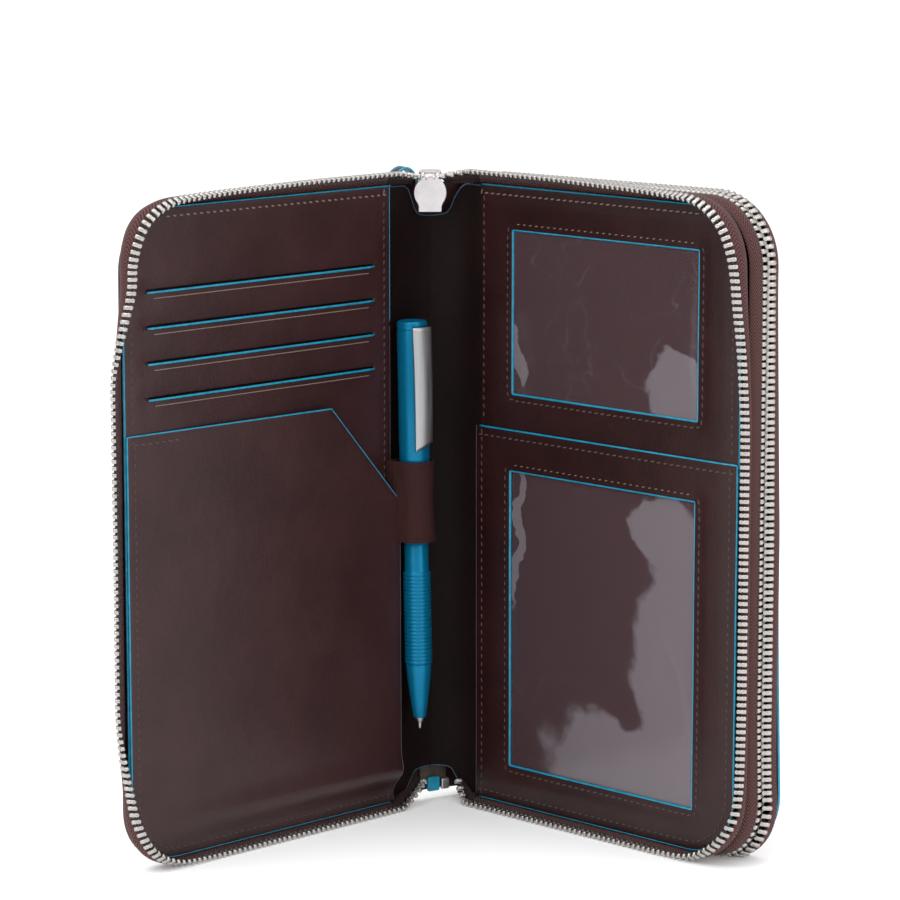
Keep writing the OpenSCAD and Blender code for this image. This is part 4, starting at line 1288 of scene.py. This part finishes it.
def pen():
    cone = [(3.7, 1.9), (3.9, 2.1), (8, 2.75), (13.9, 3.5), (18, 4.0), (21.9, 4.3), (22.1, 4.25), (22.4, 4.1)]
    piece(lathe("pen_nose_cone", cone, TURQUOISE), "pen", "pen_metal", "pen_nose")
    tip = [(0, 0.42), (0.5, 0.5), (1.6, 0.62), (2.2, 0.85), (2.4, 1.1), (3.4, 1.45), (3.75, 1.75)]
    piece(lathe("pen_metal_tip", tip, PLATE), "pen", "satin_steel")
    point = [(0, 0.30), (0.2, 0.38), (2.4, 0.5), (6, 0.5), (6.2, 1.15), (66, 1.15), (66.4, 0.9)]
    piece(lathe("pen_refill_tube", point, PLATE, 20), "refill", "satin_steel", "pen_refill")
    grip = [(22.4, 4.1), (22.5, 4.5)]
    for i in range(25):
        z = 22.4 + i * 1.24
        grip += [(z + 0.18, 4.35), (z + 0.34, 4.6), (z + 0.95, 4.6), (z + 1.12, 4.35)]
    grip += [(53.6, 4.2), (53.8, 4.05), (77.2, 4.05), (77.4, 3.9)]
    spigot = [(77.4, 3.4), (91.3, 3.4), (91.5, 3.2)]
    piece(lathe("pen_grip_barrel", grip + spigot, TURQUOISE), "pen", "pen_metal", "pen_lower_barrel")
    cap = [(77.4, 4.5), (77.5, 4.95), (77.75, 5.1), (134.7, 5.1), (134.85, 5.0)]
    piece(lathe("pen_cap_barrel", cap, TURQUOISE), "pen_cap", "pen_metal", "pen_upper_barrel")
    crown = [(134.85, 4.9), (135.0, 5.05), (136.6, 5.1), (137.3, 4.9), (137.7, 4.4), (137.8, 3.4),
             (137.4, 3.2), (137.4, 1.0)]
    piece(lathe("pen_crown_cap", crown, TURQUOISE), "pen_cap", "pen_metal", "pen_crown")
    clip()


def clip():
    """Sprung clip: a dished steel strip, slanted at its lower end and folded over at the top."""
    low, high, half = 94.6, 135.9, 3.5
    turn = math.radians(-14)

    def on_clip(a, b, h):
        return on_pen(a * math.cos(turn) - b * math.sin(turn), a * math.sin(turn) + b * math.cos(turn), h)
    grid = []
    for z in np.linspace(low, high, 34):
        u = (z - low) / (high - low)
        stand = 6.25 + 0.475 * math.sin(math.pi * min(1, u * 1.05))
        wide = half * min(1.0, 0.93 + 0.07 * u)
        for v in np.linspace(-1, 1, 13):
            cut = 3.0 * (v + 1) / 2
            up = low + cut + (z - low) * (high - low - cut) / (high - low)
            grid.append(on_clip(stand + 0.65 * (1 - v * v) - 0.1, v * (wide - 0.06), up))
    strip = band("pen_clip_strip", np.array(grid).reshape(34, 13, 3), 0.85, CLIP)
    neck = [on_clip(a, b, h) for h in (130.2, 134.9)
            for a, b in ((4.6, -1.8), (6.6, -1.8), (6.6, 1.8), (4.6, 1.8))]
    box = new_mesh("clip_neck", neck, [(0, 1, 2, 3), (7, 6, 5, 4), (0, 4, 5, 1), (1, 5, 6, 2), (2, 6, 7, 3),
                                       (3, 7, 4, 0)], CLIP, smooth=False)
    piece(join("pen_clip_strip", [strip, box]), "pen_cap", "satin_steel", "pen_clip")


LOOP = [mm(c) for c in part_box("pen_loop")]


def pen_loop():
    """Elastic band: leaves the page's edge, goes round the pen and comes back, with turned hems."""
    z0, z1 = LOOP[0][2] - PEN_TIP[2], LOOP[1][2] - PEN_TIP[2]
    centre = PEN_TIP + PEN_UP * (z0 + z1) / 2
    away = FRONT(STRIP + 2.2, -0.2, 0)[:2] - centre[:2]
    dist = np.linalg.norm(away)
    r = 5.75
    face = math.atan2(away[1], away[0])
    open_by = math.acos(r / dist)
    turn = np.linspace(face + open_by, face + 2 * math.pi - open_by, 44)
    ring = np.stack([np.cos(turn), np.sin(turn)], 1) * r
    plan = np.concatenate([np.linspace(away, ring[0], 9)[:-1], ring, np.linspace(ring[-1], away, 9)[1:]])
    out = np.linalg.norm(plan, axis=1)
    near = out < r * 1.02
    fade = np.clip((out[~near] - r) / (dist - r), 0, 1)[:, None]
    levels = np.concatenate([[z0], np.linspace(z0 + 0.4, z1 - 0.4, 24), [z1]])
    grid = np.zeros((len(plan), len(levels), 3))
    for j, h in enumerate(levels):
        u = (h - z0) / (z1 - z0)
        base = PEN_TIP + PEN_UP * h
        waist = 1 + 0.035 * math.cos(2 * math.pi * u) + 0.03 * (u < 0.09)
        grid[near, j, :2] = base[:2] + plan[near] * waist
        grid[~near, j, :2] = (base[:2] + plan[~near]) * (1 - fade) + (centre[:2] + plan[~near]) * fade
        grid[:, j, 2] = base[2]
    uv = np.stack(np.broadcast_arrays(distance_along(plan)[:, None], levels), -1)
    piece(band("pen_loop_elastic", grid, 0.85, ELASTIC, uv), "front_cover", "elastic", "pen_loop")
    hems = [sweep(f"hem_{k}", grid[:, j], oval(0.55, 0.7, 8), ELASTIC)
            for k, j in enumerate((2, len(levels) - 3))]
    piece(join("pen_loop_hems", hems), "front_cover", "elastic")


pen()
pen_loop()


# ---------------------------------------------------------------- sliders, pullers and zip ends
def plate(name, loop, thick, bevel, at, x_dir, y_dir, material):
    """Flat plate with bevelled edges, from a counter-clockwise outline, lying across x_dir and y_dir."""
    loop = np.asarray(loop, float)
    x_dir, y_dir = np.array(x_dir, float), np.array(y_dir, float)
    half, soften = thick / 2, bevel * 0.3
    inner, soft = offset(loop, bevel), offset(loop, soften)
    layers = [(inner, -half), (soft, soften - half), (loop, bevel - half), (loop, half - bevel),
              (soft, half - soften), (inner, half)]
    verts = np.concatenate([at + l[:, :1] * x_dir + l[:, 1:] * y_dir + h * np.cross(x_dir, y_dir)
                            for l, h in layers])
    obj = new_mesh(name, verts, tube_faces(len(layers), len(loop)), material)
    for p in obj.data.polygons:
        if p.loop_total > 4:
            p.use_smooth = False
    return obj


def puller_outline():
    """Round head that narrows to a square tail, hanging along -x from the pin at the origin."""
    head_x, r, tail, half = -4.9, 5.45, -11.3, 3.85
    side = arc(head_x, 0, r, 5, 126, 26)
    side += [(-8.9, half + 0.15), (-9.4, half + 0.03), (tail + 0.25, half), (tail, half - 0.2)]
    return side + [(x, -y) for x, y in side[::-1]]


def rod(name, pin, across, ends, n, ups):
    """Round pin along across, from (half length, radius) at its end and at its shoulder."""
    (far, small), (near, wide) = ends
    return sweep(name, [pin + across * v for v in (-far, -near, near, far)],
                 [oval(r, r, n) for r in (small, wide, wide, small)], PLATE, ups=ups)


def puller(name, pin, hang, across, body, node):
    loop = resample(puller_outline(), 0.9)
    leaf = plate("leaf", loop, 1.2, 0.28, pin + np.cross(-hang, across) * 0.75, -hang, across, PULL)
    eye = rod("eye", pin, across, ((1.7, 1.25), (1.5, 1.5)), 20, hang)
    strap = plate("strap", rect(-3.2, -0.6, -1.4, 1.4, 0.3), 1.15, 0.2, pin, -hang, across, PULL)
    piece(join(name, [leaf, eye, strap]), body, "zip_metal", node)


def slider(name, centre, chain, across, out, body, nodes, pin):
    """Zip slider: two rounded plates with turned-in flanges, a bridge, and lugs that hold the pin."""
    wedge = [(4.1, 2.5), (3.4, 3.2), (0, 3.6), (-3.6, 3.7), (-4.2, 3.1)]
    wedge = resample([(x, -y) for x, y in wedge[::-1]] + wedge, 1.2)
    parts = []
    for s in (-1, 1):
        parts.append(plate(f"plate_{s}", wedge, 0.9, 0.25, centre + out * s * 1.65, chain, across, PLATE))
        for side in (-1, 1):
            parts.append(sweep(f"flange_{s}_{side}", [centre + chain * c + across * side * w + out * s * 1.25
                                                      for c, w in ((-3.4, 3.35), (0, 3.25), (3.0, 2.9))],
                               oval(0.35, 0.45, 8), PLATE, ups=out))
    parts.append(plate("bridge", rect(1.8, 3.9, -1.0, 1.0, 0.3), 2.4, 0.2, centre, chain, across, PLATE))
    lug = [(-3.4, -0.7), (-3.4, 2.1), (-5.2, 2.1)] + arc(-5.9, 0.2, 0.95, 110, 300, 9)
    for side in (-1, 1):
        parts.append(plate(f"lug_{side}", resample(lug[::-1], 0.8), 1.0, 0.18,
                           centre + across * side * 2.4, chain, out, PLATE))
    parts.append(rod("pin_body", pin, across, ((3.05, 0.4), (2.9, 0.55)), 16, out))
    piece(join(name, parts), body, "zip_metal", *nodes)


def zip_ends():
    """Folded tab behind the front slider, and the tab and stop at the foot of the zip."""
    top, bottom, end = (sum(mm(c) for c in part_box(node)) / 2
                        for node in ("zip_end_tab_top", "zip_end_tab_bottom", "zip_end_stop"))
    wide = -SPINE.d * [1, 1, 0]
    path = [(-3.1, 7.6), (-2.7, 8.8), (-1.4, 10.0), (0.6, 10.7), (2.4, 10.2), (4.0, 8.6), (4.9, 6.4),
            (5.0, 4.4)]
    path = hermite_chain([top - SPINE_T * a + [0, 0, b] for a, b in path], 5)
    tab = sweep("zip_top_tab", path, [(0.45 * a, 2.2 * b) for a, b in oval(1, 1, 12)], LEATHER, ups=wide)
    piece(tab, "front_cover", "leather")
    edges = [sweep(f"tab_edge_{side}", path + wide * 2.2 * side, oval(0.5, 0.45, 8), BLUE, ups=wide)
             for side in (-1, 1)]
    piece(join("zip_top_tab_edges", edges), "front_cover", "edge_paint", "zip_end_tab_top")
    proud = SPINE.d * 0.1
    foot = plate("zip_foot_tab", resample(rect(-2.3, 2.3, -2.5, 2.4, 0.7), 0.8), 1.1, 0.3, bottom + proud,
                 SPINE_T, UP, BLUE)
    piece(foot, "spine", "edge_paint", "zip_end_tab_bottom")
    stop = plate("zip_foot_stop", resample(rect(-1.6, 1.6, -1.9, 1.9, 0.6), 0.7), 1.6, 0.45, end + proud,
                 SPINE_T, UP, PLATE)
    piece(stop, "spine", "zip_metal", "zip_end_stop")


def sliders():
    for side, pin, chain, across, out, body in (
            ("front", SLIDER, CHAIN, CROSS, UP, "spine"),
            ("rear", REAR_PIN, UP, np.array([0, 1.0, 0]), np.array([-1.0, 0, 0]), "middle_wall")):
        slider(f"{side}_zip_slider", pin + chain * 5.9 - out * 0.2, chain, across, out, body,
               (f"zip_slider_{side}", f"zip_slider_{side}_pin"), pin)
        puller(f"{side}_zip_puller", pin, -UP, across, f"{side}_puller", f"zip_puller_{side}")


sliders()
zip_ends()
